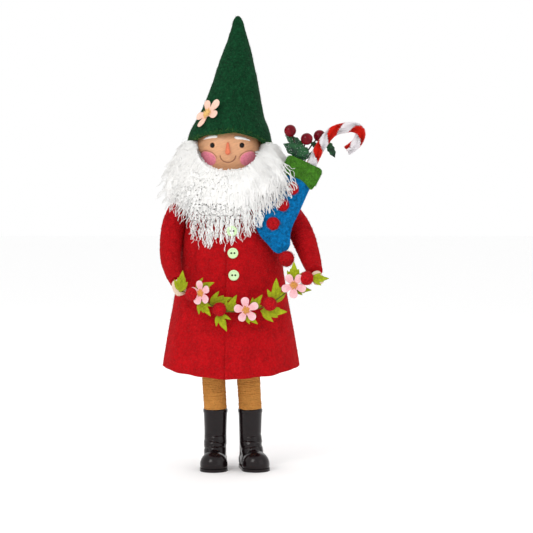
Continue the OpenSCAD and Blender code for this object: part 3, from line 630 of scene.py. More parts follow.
def smoothstep(values):
    """Eases from 0 to 1, and stays there on either side."""
    t = np.clip(values, 0, 1)
    return t * t * (3 - 2 * t)


# ------------------------------------------------------------------ legs and boots

LEG_X = {"right": -14.0, "left": 17.0}
FOOT_TURN = {"right": -3.0, "left": 16.0}
SOLE_TOP = 2.62
BOOT_TOP = 52.8


def wound(path, radii, pitch, ridge, sides, seed):
    """A closed tube wound with yarn: one ridge for each turn, none quite like the next."""
    path, along = resample(path, pitch / 6)
    rng = np.random.default_rng(seed)
    turns = 400
    fat = rng.normal(1.0, 0.28, turns)
    lean = rng.normal(0.0, 0.10, turns)

    def ripple(s, angle):
        """The rise over each turn of yarn, which is fatter or leans more than the last."""
        phase = s / pitch - angle / (2 * math.pi) + 2
        turn = np.floor(phase).astype(int) % turns
        inside = phase - np.floor(phase) - 0.5 + lean[turn] * np.sin(angle * 2 + turn)
        return ridge * fat[turn] * np.sqrt(np.clip(1 - (inside * 2) ** 2, 0, 1)) - ridge

    radius = np.interp(along, np.linspace(0, 1, len(radii)), radii)
    return capped(tube_grid(path, radius, sides, ripple=ripple))


def make_leg(side, m):
    """A leg wound with yarn, from the boot up into the coat."""
    x = LEG_X[side]
    path = [(x, 0, BOOT_TOP - 0.4), (x - 1.6, 0, 80), (x - 2.6, 0, 117)]
    points, faces = wound(path, (10.2, 10.4, 10.4), 1.6, 0.5, 72, 11 if side == "right" else 12)
    mesh_piece(side + "_leg_yarn", points, faces, m["leg"], FIGURE, (side + "_leg_wrap",))


def make_boot(side, m):
    """A boot with a round toe, creased over the instep, and a raised rim round its top."""
    toe = ball((0, -18.4, 5.6), 12.2, (1, 1, 0.98), 40)
    heel = ball((0, 1.5, 7.0), 10.2, (1, 1, 1.1), 40)
    waist = ball((0, -8, 7.4), 11.0, (0.97, 1.5, 0.9), 40)
    instep = capped(tube_grid([(0, -10, 8), (0, -6.4, 15), (0, -2.2, 22), (0, 0, 30)],
                              (9.4, 9.8, 10.2, 9.8), 40, (1, 0, 0)))
    shaft = capped(tube_grid([(0, 0, z) for z in (6, 16, 24, 34, 46, 48.6, 49.2)],
                             (9.8, 9.6, 9.7, 9.9, 10.3, 10.5, 9.9), 48, (1, 0, 0)))
    rim = capped(tube_grid([(0, 0, z) for z in (48.9, 49.4, 50.4, 52.2, BOOT_TOP)],
                           (10.2, 10.8, 11.0, 10.9, 10.3), 48, (1, 0, 0)))
    points, faces = solid_from((toe, heel, waist, instep, shaft, rim), 0.62, 4)
    x, y, z = points[:, 0], points[:, 1], points[:, 2]
    front = smoothstep((-y + 2) / 9)
    folds = np.zeros(len(points))
    for height, slope, depth in ((27.5, 0.16, 0.75), (22.6, -0.2, 0.85), (17.8, 0.1, 0.7)):
        folds -= depth * np.exp(-((z - height - slope * x + 0.25 * y) / 1.15) ** 2)
    # The edge of the toe cap
    folds -= 0.5 * np.exp(-((y + 13.4 + 0.035 * x * x) / 0.7) ** 2) * (z > 5)
    centre = np.stack([np.zeros_like(x), np.minimum(y * 0.5, 0), np.minimum(z, 12)], axis=1)
    out = unit(points - centre)
    points = points + out * (folds * front + wobble(points, 0.16, 6, 2.0))[:, None]
    points[:, 2] = np.maximum(points[:, 2], SOLE_TOP)
    points = turned(points, (0, 0, FOOT_TURN[side])) + (LEG_X[side], 0, 0)
    mesh_piece(side + "_boot_shell", points, faces, m["boot"], FIGURE, (side + "_boot",))


# ------------------------------------------------------------------ coat

# Height, and half the width and depth there
COAT_ROWS = [(252, 14, 12), (246, 22, 17), (238, 29.2, 21.5), (228, 35.2, 25.5), (214, 41, 28.8),
             (198, 43.8, 31.4), (178, 46.2, 34.2), (150, 50.6, 38.4), (120, 56.4, 43),
             (93, 61, 46)]
FELT = 2.0
PLACKET_LIFT = 2.4
# All round the coat, for its cloth, and its mean radius, for the steps across a panel
COAT_RADIUS = 50


def coat_grid(first, last, columns, placket):
    """Points over the coat's outside between two angles, from the hem up."""
    rows = catmull(COAT_ROWS[::-1], 12)
    length = np.linalg.norm(rows[-1] - rows[0])
    steps = edge_steps(length, len(rows), FELT / 2) / length
    rows = np.stack([np.interp(steps, np.linspace(0, 1, len(rows)), rows[:, i])
                     for i in range(3)], axis=1)
    width = math.radians(last - first) * COAT_RADIUS
    shares = edge_steps(width, columns, FELT / 2) / width
    angles = np.radians(first + (last - first) * shares)
    degrees = np.degrees(angles)
    lift = 0
    if placket:
        lift = PLACKET_LIFT * (1 - smoothstep((degrees - first - 11) / 16))
    grid = np.zeros((len(rows), len(angles), 3))
    low = smoothstep((150 - rows[:, 0]) / 57)[:, None]
    sine, cosine = np.sin(angles)[None, :], np.cos(angles)[None, :]
    grid[:, :, 0] = (rows[:, 1:2] + lift) * cosine
    grid[:, :, 1] = (rows[:, 2:3] + lift) * sine
    # The hem hangs lowest at the front and back, and its cut edge wavers a little
    waver = 0.2 * np.sin(angles * 9 + 0.7) + 0.25 * np.sin(angles * 17 + 2.0) - 1.8
    grid[:, :, 2] = rows[:, 0:1] - 7 * low * sine ** 2 + waver[None, :] * low
    # Soft folds that open out towards the hem
    folds = 0.7 * np.sin(angles * 7 + 1.1) + 0.5 * np.sin(angles * 12 + 0.3)
    fade = smoothstep((degrees - first) / 14) * smoothstep((last - degrees) / 14)
    drop = smoothstep((185 - rows[:, 0]) / 90)[:, None]
    push = folds[None, :] * fade[None, :] * drop
    grid[:, :, 0] += push * cosine
    grid[:, :, 1] += push * sine
    row_round = rounding(steps * length, length, FELT / 2)
    column_round = rounding(shares * width, width, FELT / 2)
    return grid, row_round, column_round


def facing_out(centre, normal):
    """Keeps a coat panel's nap to its outside."""
    return np.sum(normal[:, :2] * centre[:, :2], axis=1) > 0


def make_coat(m):
    """The coat's three felt panels, the left front over the right, and their nap."""
    panels = []
    for name, first, last, columns, placket in (
            ("coat_back", 0.3, 179.7, 150, False),
            ("coat_right_front", 180.3, 274, 90, False),
            ("coat_left_front", 266, 359.7, 90, True)):
        grid, row_round, column_round = coat_grid(first, last, columns, placket)
        points, faces = felt_shell(grid, FELT, row_round, column_round, 0.1, len(panels))
        panel = mesh_piece(name + "_felt", points, faces, m["coat"], FIGURE, (name,))
        panels.append(panel)
    for panel, count, seed in zip(panels, (7000, 5000, 5000), (31, 32, 33)):
        fuzz(panel.name + "_nap", panel, count, 1.9, 0.045, m["fuzz_red"], FIGURE, seed, 0.28,
             facing_out)


def make_sleeve(side, m):
    """The sleeve's middle line and its radius along it, wound with yarn."""
    lines = {
        "right": ([(-39.5, 0, 237), (-46.2, -1, 228.5), (-50.7, -4.4, 215), (-52.6, -9.7, 200),
                   (-52.6, -17.5, 186.5), (-49.6, -27.8, 175.5), (-46, -37, 168)],
                  [8.4, 9.8, 10.3, 9.9, 8.9, 7.6, 6.2]),
        "left": ([(39.5, 0, 237), (48.5, -1, 229.5), (57.5, -4, 218), (64, -9, 204.5),
                  (68.5, -16.5, 192), (71.4, -26.4, 183), (73.6, -35.6, 176.5)],
                 [8.4, 10, 10.6, 10.6, 9.6, 8.2, 6.8])}
    line, radii = lines[side]
    fine = catmull([p + (r,) for p, r in zip(line, radii)], 6)
    points, faces = wound(fine[:, :3], fine[:, 3], 1.5, 0.4, 64, 21 if side == "right" else 22)
    sleeve = mesh_piece(side + "_sleeve_yarn", points, faces, m["sleeve"], FIGURE,
                        (side + "_sleeve",))
    fuzz(side + "_sleeve_nap", sleeve, 2600, 1.5, 0.04, m["fuzz_sleeve"], FIGURE, 23, 0.3)


def make_hand(side, m):
    """A mitten of felt: a palm drawn out to a point, with a thumb."""
    lines = {
        "right": [(-45.4, -38.4, 167.2), (-44.8, -40, 165.2), (-43.6, -41.8, 162),
                  (-42.4, -42.6, 158.6), (-41.6, -42.8, 156.4)],
        "left": [(74.0, -37.0, 174.2), (74.8, -38.8, 172.6), (76, -40.8, 170.2),
                 (77, -42, 167.6), (77.6, -42.2, 165.8)]}
    line = catmull(lines[side], 6)
    radii = np.interp(np.linspace(0, 1, len(line)), (0, 0.25, 0.5, 0.75, 0.92, 1),
                      (5.2, 5.7, 5.7, 4.9, 3.2, 1.6)) * (1 if side == "right" else 0.9)
    palm = capped(tube_grid(line, radii, 36))
    toward = 1 if side == "right" else -1
    root = np.array(lines[side][1]) + (2.6 * toward, -1.5, 0.5)
    thumb = catmull([root, root + (2.2 * toward, -0.8, -1.6),
                     root + (2.9 * toward, -1.0, -4.2)], 5)
    thumb_shape = capped(tube_grid(thumb, np.linspace(2.2, 1.3, len(thumb)), 20))
    points, faces = solid_from((palm, thumb_shape), 0.45, 5)
    points = points + wobble(points, 0.3, 4, 3)[:, None] * np.array((0.5, 0.7, 0.5))
    hand = mesh_piece(side + "_hand_felt", points, faces, m["cream"], FIGURE, (side + "_hand",))


# ------------------------------------------------------------------ head

HEAD = np.array((-2.0, 0.0, 286.0))
FACE_R = 28.5
EYE_ACROSS, EYE_SHIFT = 27.0, -1.6
SKIN = np.array((0.66, 0.335, 0.170))
BROWN = np.array((0.20, 0.050, 0.018))
BLUSH = np.array((0.80, 0.24, 0.27))
CHEEK_ACROSS, CHEEK_UP = 45.0, -24.5
CHEEK_WIDE, CHEEK_HIGH = 9.4, 6.8
CHEEK_SQUEEZE = math.cos(math.radians(CHEEK_UP))


def on_face(across, up, radius):
    """A point out from the middle of the head, in the face's own directions."""
    across, up = np.radians(across), np.radians(up)
    point = np.stack([np.sin(across) * np.cos(up), -np.cos(across) * np.cos(up),
                      np.sin(up) * np.ones_like(across)], axis=-1)
    return point * np.asarray(radius)[..., None] + HEAD


def arc_distance(across, up, centre_up, radius_mm, first, last):
    """Distance over the ball, in mm, from points to an arc of a circle drawn on it."""
    sideways = FACE_R * np.radians(across) * np.cos(np.radians(up))
    rise = FACE_R * np.radians(up - centre_up)
    angle = np.degrees(np.arctan2(rise, sideways))
    on_arc = (angle > first) & (angle < last)
    ends = [np.hypot(sideways - radius_mm * math.cos(math.radians(a)),
                     rise - radius_mm * math.sin(math.radians(a))) for a in (first, last)]
    near_end = np.minimum(ends[0], ends[1])
    return np.where(on_arc, np.abs(np.hypot(sideways, rise) - radius_mm), near_end)


def make_face(m):
    """The painted face: a ball with eye sockets, a carved smile and outlined cheeks."""
    rows, cols = 330, 460
    up = np.linspace(-78, 60, rows)[:, None] * np.ones(cols)
    across = np.linspace(-86, 86, cols)[None, :] * np.ones((rows, 1))
    colour = np.ones((rows, cols, 3)) * SKIN
    depth = np.zeros((rows, cols))
    smile = arc_distance(across, up, -17.8, 6.95, -174, -6)
    cut = np.exp(-(smile / 0.52) ** 2)
    depth -= 0.5 * cut
    colour = colour * (1 - 0.9 * cut[..., None]) + BROWN * 0.9 * cut[..., None]
    for side in (-1, 1):
        sideways = FACE_R * np.radians(across - side * CHEEK_ACROSS) * CHEEK_SQUEEZE
        rise = FACE_R * np.radians(up - CHEEK_UP)
        reach = np.hypot(sideways / CHEEK_WIDE, rise / CHEEK_HIGH) * CHEEK_HIGH
        angle = np.degrees(np.arctan2(rise, sideways * side))
        outline = np.exp(-((reach - CHEEK_HIGH - 0.72) / 0.36) ** 2)
        outline = outline * smoothstep((angle + 10) / 20) * smoothstep((190 - angle) / 30)
        depth -= 0.35 * outline
        colour = colour * (1 - 0.9 * outline[..., None]) + BROWN * 0.9 * outline[..., None]
        blush = 0.3 * np.exp(-(np.maximum(reach - 6.0, 0) / 1.8) ** 2)
        colour = colour * (1 - blush[..., None]) + BLUSH * blush[..., None]
        eye = np.hypot(FACE_R * np.radians(across - side * EYE_ACROSS - EYE_SHIFT),
                       FACE_R * np.radians(up))
        # Painted shade in the gap round each bead: its socket is darkened, and the raised ring
        # round it is made a little lighter
        socket_shade = np.exp(-((eye - 2.25) / 0.35) ** 2)
        rim = np.exp(-((eye - 3.25) / 0.6) ** 2)
        depth += 0.18 * rim - 0.45 * (eye < 2.1)
        colour = colour * (1 + 0.14 * rim[..., None])
        colour = colour * (1 - 0.5 * socket_shade[..., None]) + BROWN * 0.5 * socket_shade[..., None]
    # Faint turning grain that shows through the paint
    slope = np.stack([(across + up * 0.35) * 0.10, (up - across * 0.35) * 0.5, up * 0], -1)
    grain = wobble(slope.reshape(-1, 3), 1, 0.9, 5).reshape(rows, cols)
    blot = wobble(slope.reshape(-1, 3), 1, 5, 6).reshape(rows, cols)
    colour = colour * (1 + 0.13 * grain[..., None] + 0.10 * blot[..., None])
    depth += 0.04 * grain
    outside = on_face(across, up, FACE_R + depth)
    inside = on_face(across, up, np.full((rows, cols), FACE_R - 2.2))
    points = np.concatenate([outside.reshape(-1, 3), inside.reshape(-1, 3)])
    front = grid_quads(rows, cols)
    back = grid_quads(rows, cols, False, rows * cols)[:, ::-1]
    face = mesh_piece("painted_face", points, np.concatenate([front, back]), m["face"], FIGURE,
                      ("face_shell",), "face_paint")
    paint(face, np.concatenate([np.clip(colour, 0, 1).reshape(-1, 3)] * 2))


def make_features(m):
    """Nose, eyes, cheeks and eyebrows."""
    nose_line = [on_face(np.array(0.0), np.array(up), np.array(FACE_R + out))
                 for up, out in ((4.6, -0.5), (3.2, 0.5), (0, 1.05), (-4, 1.5), (-8.4, 1.9),
                                 (-11.0, 1.9), (-12.2, 0.6))]
    fine = catmull(nose_line, 6)
    share = np.linspace(0, 1, len(fine))
    width = np.interp(share, (0, 0.16, 0.5, 0.8, 0.94, 1), (0.5, 0.95, 1.6, 2.35, 2.45, 1.6))
    points, faces = solid_from((capped(tube_grid(fine, width, 28, (1, 0, 0))),), 0.25, 8)
    mesh_piece("nose_wedge", points, faces, m["nose"], FIGURE, ("nose",), "nose_paint")
    beads, discs, brows = [], [], []
    for side in (-1, 1):
        beads.append(ball(on_face(np.array(EYE_ACROSS * side + EYE_SHIFT), np.array(0.0),
                                  np.array(FACE_R - 0.45)), 2.15, (1, 1, 1), 40))
        rings = np.concatenate([np.linspace(0.003, 0.94, 22), (0.98, 1.01)])
        angles = np.linspace(0, 2 * math.pi, 72, endpoint=False)
        reach = rings[:, None] * (1 + 0.012 * np.sin(5 * angles + side) + 0.01 * np.sin(9 * angles))
        across = CHEEK_ACROSS * side + (
            np.degrees(CHEEK_WIDE * reach * np.cos(angles) / FACE_R) / CHEEK_SQUEEZE)
        up = CHEEK_UP + np.degrees(CHEEK_HIGH * reach * np.sin(angles) / FACE_R)
        rise = np.interp(rings, (0, 0.75, 0.94, 0.98, 1.01), (0.40, 0.36, 0.24, 0.12, -0.2))
        grid = on_face(across, up, FACE_R + rise[:, None] * np.ones(72))
        discs.append(capped(grid))
        # Each eyebrow is one brush stroke, thick near the nose and drawn out to a point
        t = np.linspace(0, 1, 14)
        grid_line = on_face(side * (15.5 + 30.5 * t) - 3.5, 14.6 - 1.1 * side - 5.3 * t ** 2,
                            FACE_R + 0.1 + 0 * t)
        taper = np.interp(t, (0, 0.06, 0.2, 0.6, 1), (0.7, 1.3, 1.45, 1.15, 0.3))
        brows.append(capped(tube_grid(grid_line, taper, 16)))
    mesh_piece("eye_beads", *join(*beads), m["bead"], FIGURE, ("eyes",), "bead")
    mesh_piece("cheek_discs", *join(*discs), m["cheek"], FIGURE, ("cheeks",), "cheek_paint")
    points, faces = join(*brows)
    points = points + wobble(points, 0.22, 1.6, 4)[:, None] * np.array((0.4, 0.4, 1.0))
    mesh_piece("brow_strokes", points, faces, m["brow"], FIGURE, ("eyebrows",), "white_paint")


# ------------------------------------------------------------------ beard and hair

# The point that the locks are combed away from, behind the middle of the face
CHIN = np.array((-1.5, 0.0, 286.0))
UNDER_BRIM = 288.0


def brim_rise(angles):
    """How far the brim's edge rises over its lowest side: high in front, low behind."""
    sine, cosine = np.sin(angles), np.cos(angles)
    front = (8.4 + 2.2 * cosine) * np.abs(sine) ** 2.4
    return np.where(sine < 0, front, -8.4 * sine) - 2.2 * cosine


def opening_at(sideways):
    """How far out from the middle of the face the fleece starts, from 0 below it to 1 beside."""
    return 21.9 + 5.6 * np.abs(sideways) ** 1.5


def from_opening(points):
    """How far out from the middle of the face points are, and where the fleece starts there."""
    out = np.hypot(points[:, 0] - CHIN[0], points[:, 2] - CHIN[2])
    return out, opening_at((points[:, 0] - CHIN[0]) / np.maximum(out, 1e-6))


def fleece_bed(shapes, voxel=1.0):
    """The dense fleece under the locks, which stops round the face."""
    points, faces = solid_from(shapes, voxel, 10)
    out, opening = from_opening(points)
    inside = (points[:, 1] < 4) & (out < opening + 0.8)
    from_axis = np.hypot(points[:, 0] - HEAD[0], points[:, 2] - HEAD[2])
    back = -np.sqrt(np.maximum(FACE_R ** 2 - from_axis ** 2, 0)) + 1.2
    ease = smoothstep((opening + 0.8 - out) / 1.6)
    deeper = np.maximum(points[:, 1], back)
    points[:, 1] = np.where(inside, points[:, 1] * (1 - ease) + deeper * ease, points[:, 1])
    lumps = wobble(points, 1.0, 9, 6) + wobble(points, 0.4, 3.2, 7)
    normals = unit(points - np.array((-2.0, 2.0, 258.0)))
    points = points + normals * lumps[:, None]
    # Under the hat the fleece is pressed flat by its brim
    under = np.hypot(points[:, 0], points[:, 1]) < 41
    brim = UNDER_BRIM + brim_rise(np.arctan2(points[:, 1], points[:, 0]))
    points[:, 2] = np.where(under, np.minimum(points[:, 2], brim), points[:, 2])
    return points, faces


# Middle and radii of the eggs that the beard's and hair's fleece is massed from
BEARD_MASS = (
    ((-34, -10, 263), (19, 20, 19)),
    ((31, -10, 263), (17, 20, 17)),
    ((-37, -5, 277), (10, 14, 11)),
    ((35, -5, 275), (9, 14, 10)),
    ((-34, -6, 285), (7, 12, 7)),
    ((32, -6, 284), (7, 12, 7)),
    ((-16, -23, 253), (29, 14, 17)),
    ((14, -23, 252), (26, 14, 16)),
    ((-24, -26, 243), (22, 11, 15)),
    ((4, -27, 240), (20, 11, 14)),
    ((-44, -15, 250), (13, 14, 16)),
    ((28, -27, 247), (17, 12.5, 13)),
    ((38, -28, 256), (13, 12, 12)),
)
HAIR_MASS = (
    ((-34, 6, 266), (18, 24, 17)),
    ((34, 6, 265), (18, 24, 16)),
    ((0, 20, 264), (38, 20, 18)),
    ((-22, 18, 264), (26, 20, 18)),
    ((22, 18, 264), (26, 20, 18)),
    ((-28, 4, 280), (12, 20, 8)),
    ((28, 4, 277), (12, 20, 8)),
    ((0, 16, 274), (30, 20, 8)),
)
# The fleece seen from the front: degrees from straight down, how far from the middle of the
# face it is dense, and how far its tips reach
SPREAD = np.array([
    (-94, 41, 42), (-90, 42, 44), (-77, 49, 52), (-67, 55, 59), (-57, 62, 68), (-49, 63, 80),
    (-42, 60, 74), (-34, 58, 82), (-26, 57, 93), (-14, 55, 91), (-4, 54, 89), (12, 53, 84),
    (22, 52, 79), (32, 51, 74), (42, 50, 71), (57, 50, 68), (66, 50, 72), (74, 49, 71),
    (80, 46, 56), (90, 43, 46), (94, 41, 43)])
# What the fleece hangs in front of, and how far each one's own nap stands off it
FRONT_NODES = {"coat_left_front": 0, "coat_right_front": 0, "right_sleeve": 0, "left_sleeve": 0,
               "stocking_front": 1.4, "stocking_cuff": 0.9, "stocking_pompoms": 0.5}


def tree_of(points, faces):
    """A search tree over a surface."""
    return BVHTree.FromPolygons([Vector(p) for p in points], faces)


def either_side(field, axis):
    """A map's neighbours ahead and behind along one axis, its edges repeated."""
    padded = np.pad(field, [(1, 1) if k == axis else (0, 0) for k in (0, 1)], mode="edge")
    return np.delete(padded, (0, 1), axis), np.delete(padded, (-1, -2), axis)


def blurred(field, times=1):
    """A map averaged over each point's neighbours."""
    for _ in range(times):
        for axis in (0, 1):
            ahead, behind = either_side(field, axis)
            field = (ahead + 2 * field + behind) / 4
    return field


class Front:
    """How far forward the front of the figure is at each X and Z, as locks lie on it."""

    west, east, low, high = -74, 74, 184, 306
    nothing = 50.0
    # How far past the figure's edge its depth is carried, and how far a lock hangs clear of a
    # bulge, both in steps of a millimetre; and how steeply it falls back from one
    carried, hung, slope = 14, 36, 0.42

    def __init__(self, bed):
        trees = [tree_of(*bed)]
        for name, nap in FRONT_NODES.items():
            mesh = bpy.data.objects[name].data
            points = [np.array(v.co) / MM - BODY_AT - (0, nap, 0) for v in mesh.vertices]
            trees.append(tree_of(points, [list(p.vertices) for p in mesh.polygons]))
        field = np.zeros((self.east - self.west + 1, self.high - self.low + 1))
        for i in range(field.shape[0]):
            for j in range(field.shape[1]):
                start = Vector((self.west + i, -120, self.low + j))
                hits = [tree.ray_cast(start, Vector((0, 1, 0)))[0] for tree in trees]
                field[i, j] = min([hit.y for hit in hits if hit is not None],
                                  default=self.nothing)
        # Beyond the figure's edge a lock keeps the depth that it left the edge with
        solid = field < self.nothing - 1
        weight = blurred(solid.astype(float), self.carried)
        value = blurred(field * solid, self.carried)
        field = np.where(solid, field, value / np.maximum(weight, 1e-9))
        # Locks leave every bulge at a gentle slope instead of following it back underneath
        drape = field
        for _ in range(self.hung):
            for axis in (0, 1):
                drape = np.minimum(drape, np.minimum(*either_side(drape, axis)) + self.slope)
        # Near the figure's own sides they follow it round
        hang = smoothstep((blurred(solid.astype(float), 40) - 0.6) / 0.38)
        drape = drape * hang + field * (1 - hang)
        self.field = blurred(np.minimum(field + 0.3, drape), 2)

    def at(self, x, z):
        """The front's Y at points between the map's own."""
        u = np.clip(x - self.west, 0, self.east - self.west - 1.001)
        v = np.clip(z - self.low, 0, self.high - self.low - 1.001)
        i, j = u.astype(int), v.astype(int)
        a, b = u - i, v - j
        f = self.field
        return (f[i, j] * (1 - a) * (1 - b) + f[i + 1, j] * a * (1 - b)
                + f[i, j + 1] * (1 - a) * b + f[i + 1, j + 1] * a * b)


def fleece_facing(points):
    """The way the whole fleece faces at each point."""
    away = (points - np.array((-1.5, 10, 256))) / np.array((58, 42, 44))
    away[:, 2] = np.maximum(away[:, 2], -0.12) + 0.12
    return unit(away)


def combed(front, angle, last_angle, start, end, lift, steps):
    """Middle lines of locks on the front, combed outwards from the face and falling a little."""
    t = np.linspace(0, 1, steps)[None, :]
    angle, last_angle, start, end, lift = (
        values[:, None] for values in (angle, last_angle, start, end, lift))
    reach = start + (end - start) * t
    turn = angle + (last_angle - angle) * t
    turn = np.radians(turn * (1 - 0.45 * t * (end - start) / 60))
    x = CHIN[0] + reach * np.sin(turn)
    z = CHIN[2] - reach * np.cos(turn)
    stand = lift * np.interp(t, (0, 0.15, 0.7, 1), (-0.4, 0.9, 1.0, 0.8))
    return np.stack([x, front.at(x, z) - stand, z], axis=-1)


def dense_reach(angle):
    """How far out the fleece is dense, by degrees from straight down."""
    return np.interp(angle, SPREAD[:, 0], SPREAD[:, 1])


def tip_reach(angle):
    """How far out its longest tips reach."""
    return np.interp(angle, SPREAD[:, 0], SPREAD[:, 2])


def felted_layer(front):
    """The matted wool that the locks stand on, hung in front of the bed as far as it is dense."""
    angle = np.linspace(-92, 92, 140)[:, None]
    inner = opening_at(np.sin(np.radians(angle))) + 0.6
    ragged = 2.0 * np.sin(angle * 0.31) + 1.4 * np.sin(angle * 0.83 + 1)
    outer = dense_reach(angle) - 7.5 + ragged
    reach = inner + (outer - inner) * np.linspace(0, 1, 60)[None, :]
    x = CHIN[0] + reach * np.sin(np.radians(angle))
    z = CHIN[2] - reach * np.cos(np.radians(angle))
    return thin_shell(*(np.stack([x, front.at(x, z) + back, z], axis=-1) for back in (0.1, 0.5)))


def grow_line(tree, root, length, steps, rise, swirl, seed):
    """The middle line of a lock of hair: over the fleece, outwards and down."""
    place = Vector(root)
    line = [np.array(place)]
    step = length / steps
    for k in range(steps):
        share = (k + 1) / steps
        radial = Vector((place.x - CHIN[0], 0, place.z - CHIN[2])).normalized()
        front = min(max((6 - place.y) / 26, 0), 1)
        wander = Vector(noise.noise_vector(place / 11 + Vector((seed, 0, 0)))) * swirl
        heading = radial * front * (1.15 - 0.3 * share) + Vector((0, 0, -1)) * (
            0.22 + 0.75 * (1 - front) + 0.35 * share) + wander
        place = place + heading.normalized() * step
        near, normal, _, gap = tree.find_nearest(place)
        above = rise * (0.5 + share)
        if (place - near).dot(normal) < above:
            place = near + normal * above
        elif gap < 4.0 and normal.dot(heading.normalized()) < 0.4 and share < 0.7:
            place = place.lerp(near + normal * above, 0.5)
        line.append(np.array(place))
    return np.array(line)


def lock_strands(lines, rng, per_lock, width, curl, wave, radius, phase=None):
    """Fibres that follow each lock's line, gathered to a point, in the lock's own waves."""
    count, steps, _ = lines.shape
    share = np.linspace(0, 1, steps)[None, :]
    tangents = unit(np.gradient(lines, axis=1))
    side = unit(np.cross(tangents, np.array([0.0, -1.0, 0.15])))
    up = np.cross(side, tangents)
    lengths = np.linalg.norm(np.diff(lines, axis=1), axis=2).sum(axis=1)
    turns = (lengths / wave * rng.uniform(0.85, 1.15, count))[:, None]
    if phase is None:
        phase = rng.uniform(0, 2 * math.pi, count)
    swing = (curl * rng.uniform(0.6, 1.4, count))[:, None] * share ** 0.8
    angle = 2 * math.pi * turns * share + phase[:, None]
    lines = (lines + side * (swing * np.sin(angle))[:, :, None]
             + up * (0.5 * swing * np.cos(angle))[:, :, None])
    fibres = np.repeat(lines, per_lock, axis=0)
    side, up = np.repeat(side, per_lock, axis=0), np.repeat(up, per_lock, axis=0)
    total = count * per_lock
    around = rng.uniform(0, 2 * math.pi, (total, 1))
    out = np.sqrt(rng.random((total, 1))) * np.repeat(
        width * rng.uniform(0.7, 1.3, (count, 1)), per_lock, axis=0)
    gather = out * (0.35 + 0.65 * np.sin(math.pi * np.clip(share * 0.8 + 0.25, 0, 1)))
    gather = gather * (1 - 0.85 * share ** 2)
    spin = around + rng.uniform(-1.4, 1.4, (total, 1)) * share
    stray = rng.normal(0, 0.25, (total, 1)) * share ** 2
    fibres = (fibres + side * ((gather + stray) * np.cos(spin))[:, :, None]
              + up * (0.45 * (gather + stray) * np.sin(spin))[:, :, None])
    fine = rng.uniform(0, 2 * math.pi, (total, 1))
    crimp = 0.12 * np.sin(share * 2 * math.pi * 4.5 + fine)
    fibres = fibres + side * crimp[:, :, None]
    radii = radius * (1.0 - 0.55 * share ** 1.5) * rng.uniform(0.75, 1.25, (total, 1))
    return fibres, radii


def scatter(points, faces, count, rng, keep):
    """Points spread evenly over a surface, where keep() allows."""
    triangles = np.array([t for f in faces for t in ((f[0], f[1], f[2]), (f[0], f[2], f[-1]))])
    a, b, c = (points[triangles[:, i]] for i in range(3))
    cross = np.cross(b - a, c - a)
    weight = np.linalg.norm(cross, axis=1) * keep((a + b + c) / 3)
    pick = rng.choice(len(weight), count, p=weight / weight.sum())
    s, t = rng.random(count), rng.random(count)
    flip = s + t > 1
    s[flip], t[flip] = 1 - s[flip], 1 - t[flip]
    return a[pick] + s[:, None] * (b - a)[pick] + t[:, None] * (c - a)[pick]


# Fibres in each lock, its width, how far and how often it curls, and its fibres' radius, in mm
LOOKS = {"cover": (8, 2.4, 0.4, 11, 0.19), "edge": (9, 1.25, 0.8, 9, 0.16),
         "fringe": (8, 0.5, 1.0, 12, 0.155), "stray": (4, 0.28, 1.1, 10, 0.13),
         "behind": (8, 2.6, 0.5, 10, 0.19), "low_back": (8, 1.3, 1.1, 8, 0.17),
         "beside": (8, 2.4, 0.5, 10, 0.18), "round_face": (8, 1.5, 0.4, 7, 0.16)}


def cover_locks(front, rng, count):
    """Short soft locks all over the front, from the face to where the fleece thins out."""
    angle = rng.uniform(-93, 93, count)
    inner = opening_at(np.sin(np.radians(angle))) - 0.4
    start = inner + (dense_reach(angle) - 5 - inner) * rng.random(count) ** 0.75
    end = start + rng.uniform(9, 17, count)
    end = np.minimum(end, dense_reach(angle) + rng.uniform(-6, 6, count))
    lines = combed(front, angle, angle + rng.normal(0, 3.5, count), start,
                   np.maximum(end, start + 4), rng.uniform(0.15, 0.85, count), 12)
    return lock_strands(lines, rng, *LOOKS["cover"])


def edge_locks(front, rng, count):
    """Longer locks that end past the dense fleece."""
    angle = rng.uniform(-62, 78, count)
    start = dense_reach(angle) - rng.uniform(8, 26, count)
    room = tip_reach(angle) - dense_reach(angle)
    end = dense_reach(angle) + room * rng.uniform(0.0, 0.5, count)
    lines = combed(front, angle, angle + rng.normal(0, 3, count), start, end,
                   rng.uniform(0.8, 1.9, count), 18)
    return lock_strands(lines, rng, *LOOKS["edge"])


def fringe_locks(front, rng, clumps, per_clump):
    """The long tips: clumps of thin curly locks that draw together to a point."""
    middle = np.linspace(-50, 70, clumps) + rng.uniform(-2.0, 2.0, clumps)
    far = tip_reach(middle) * rng.uniform(0.92, 1.04, clumps)
    middle, far = np.repeat(middle, per_clump), np.repeat(far, per_clump)
    phase = np.repeat(rng.uniform(0, 2 * math.pi, clumps), per_clump)
    count = clumps * per_clump
    aside = rng.uniform(-4.0, 4.0, count)
    start = dense_reach(middle) - rng.uniform(5, 20, count)
    end = far - rng.uniform(0, 6, count)
    lines = combed(front, middle + np.degrees(aside / 60), middle + np.degrees(aside * 0.2 / 85),
                   start, np.maximum(end, start + 8), rng.uniform(1.2, 2.6, count), 26)
    return lock_strands(lines, rng, *LOOKS["fringe"], phase + rng.normal(0, 0.7, count))


def stray_locks(front, rng, count):
    """Single wisps between the clumps."""
    angle = rng.uniform(-54, 74, count)
    start = dense_reach(angle) - rng.uniform(0, 10, count)
    end = tip_reach(angle) * rng.uniform(0.84, 1.03, count)
    lines = combed(front, angle, angle + rng.normal(0, 5, count), start, np.maximum(end, start + 6),
                   rng.uniform(1.0, 2.6, count), 24)
    return lock_strands(lines, rng, *LOOKS["stray"])


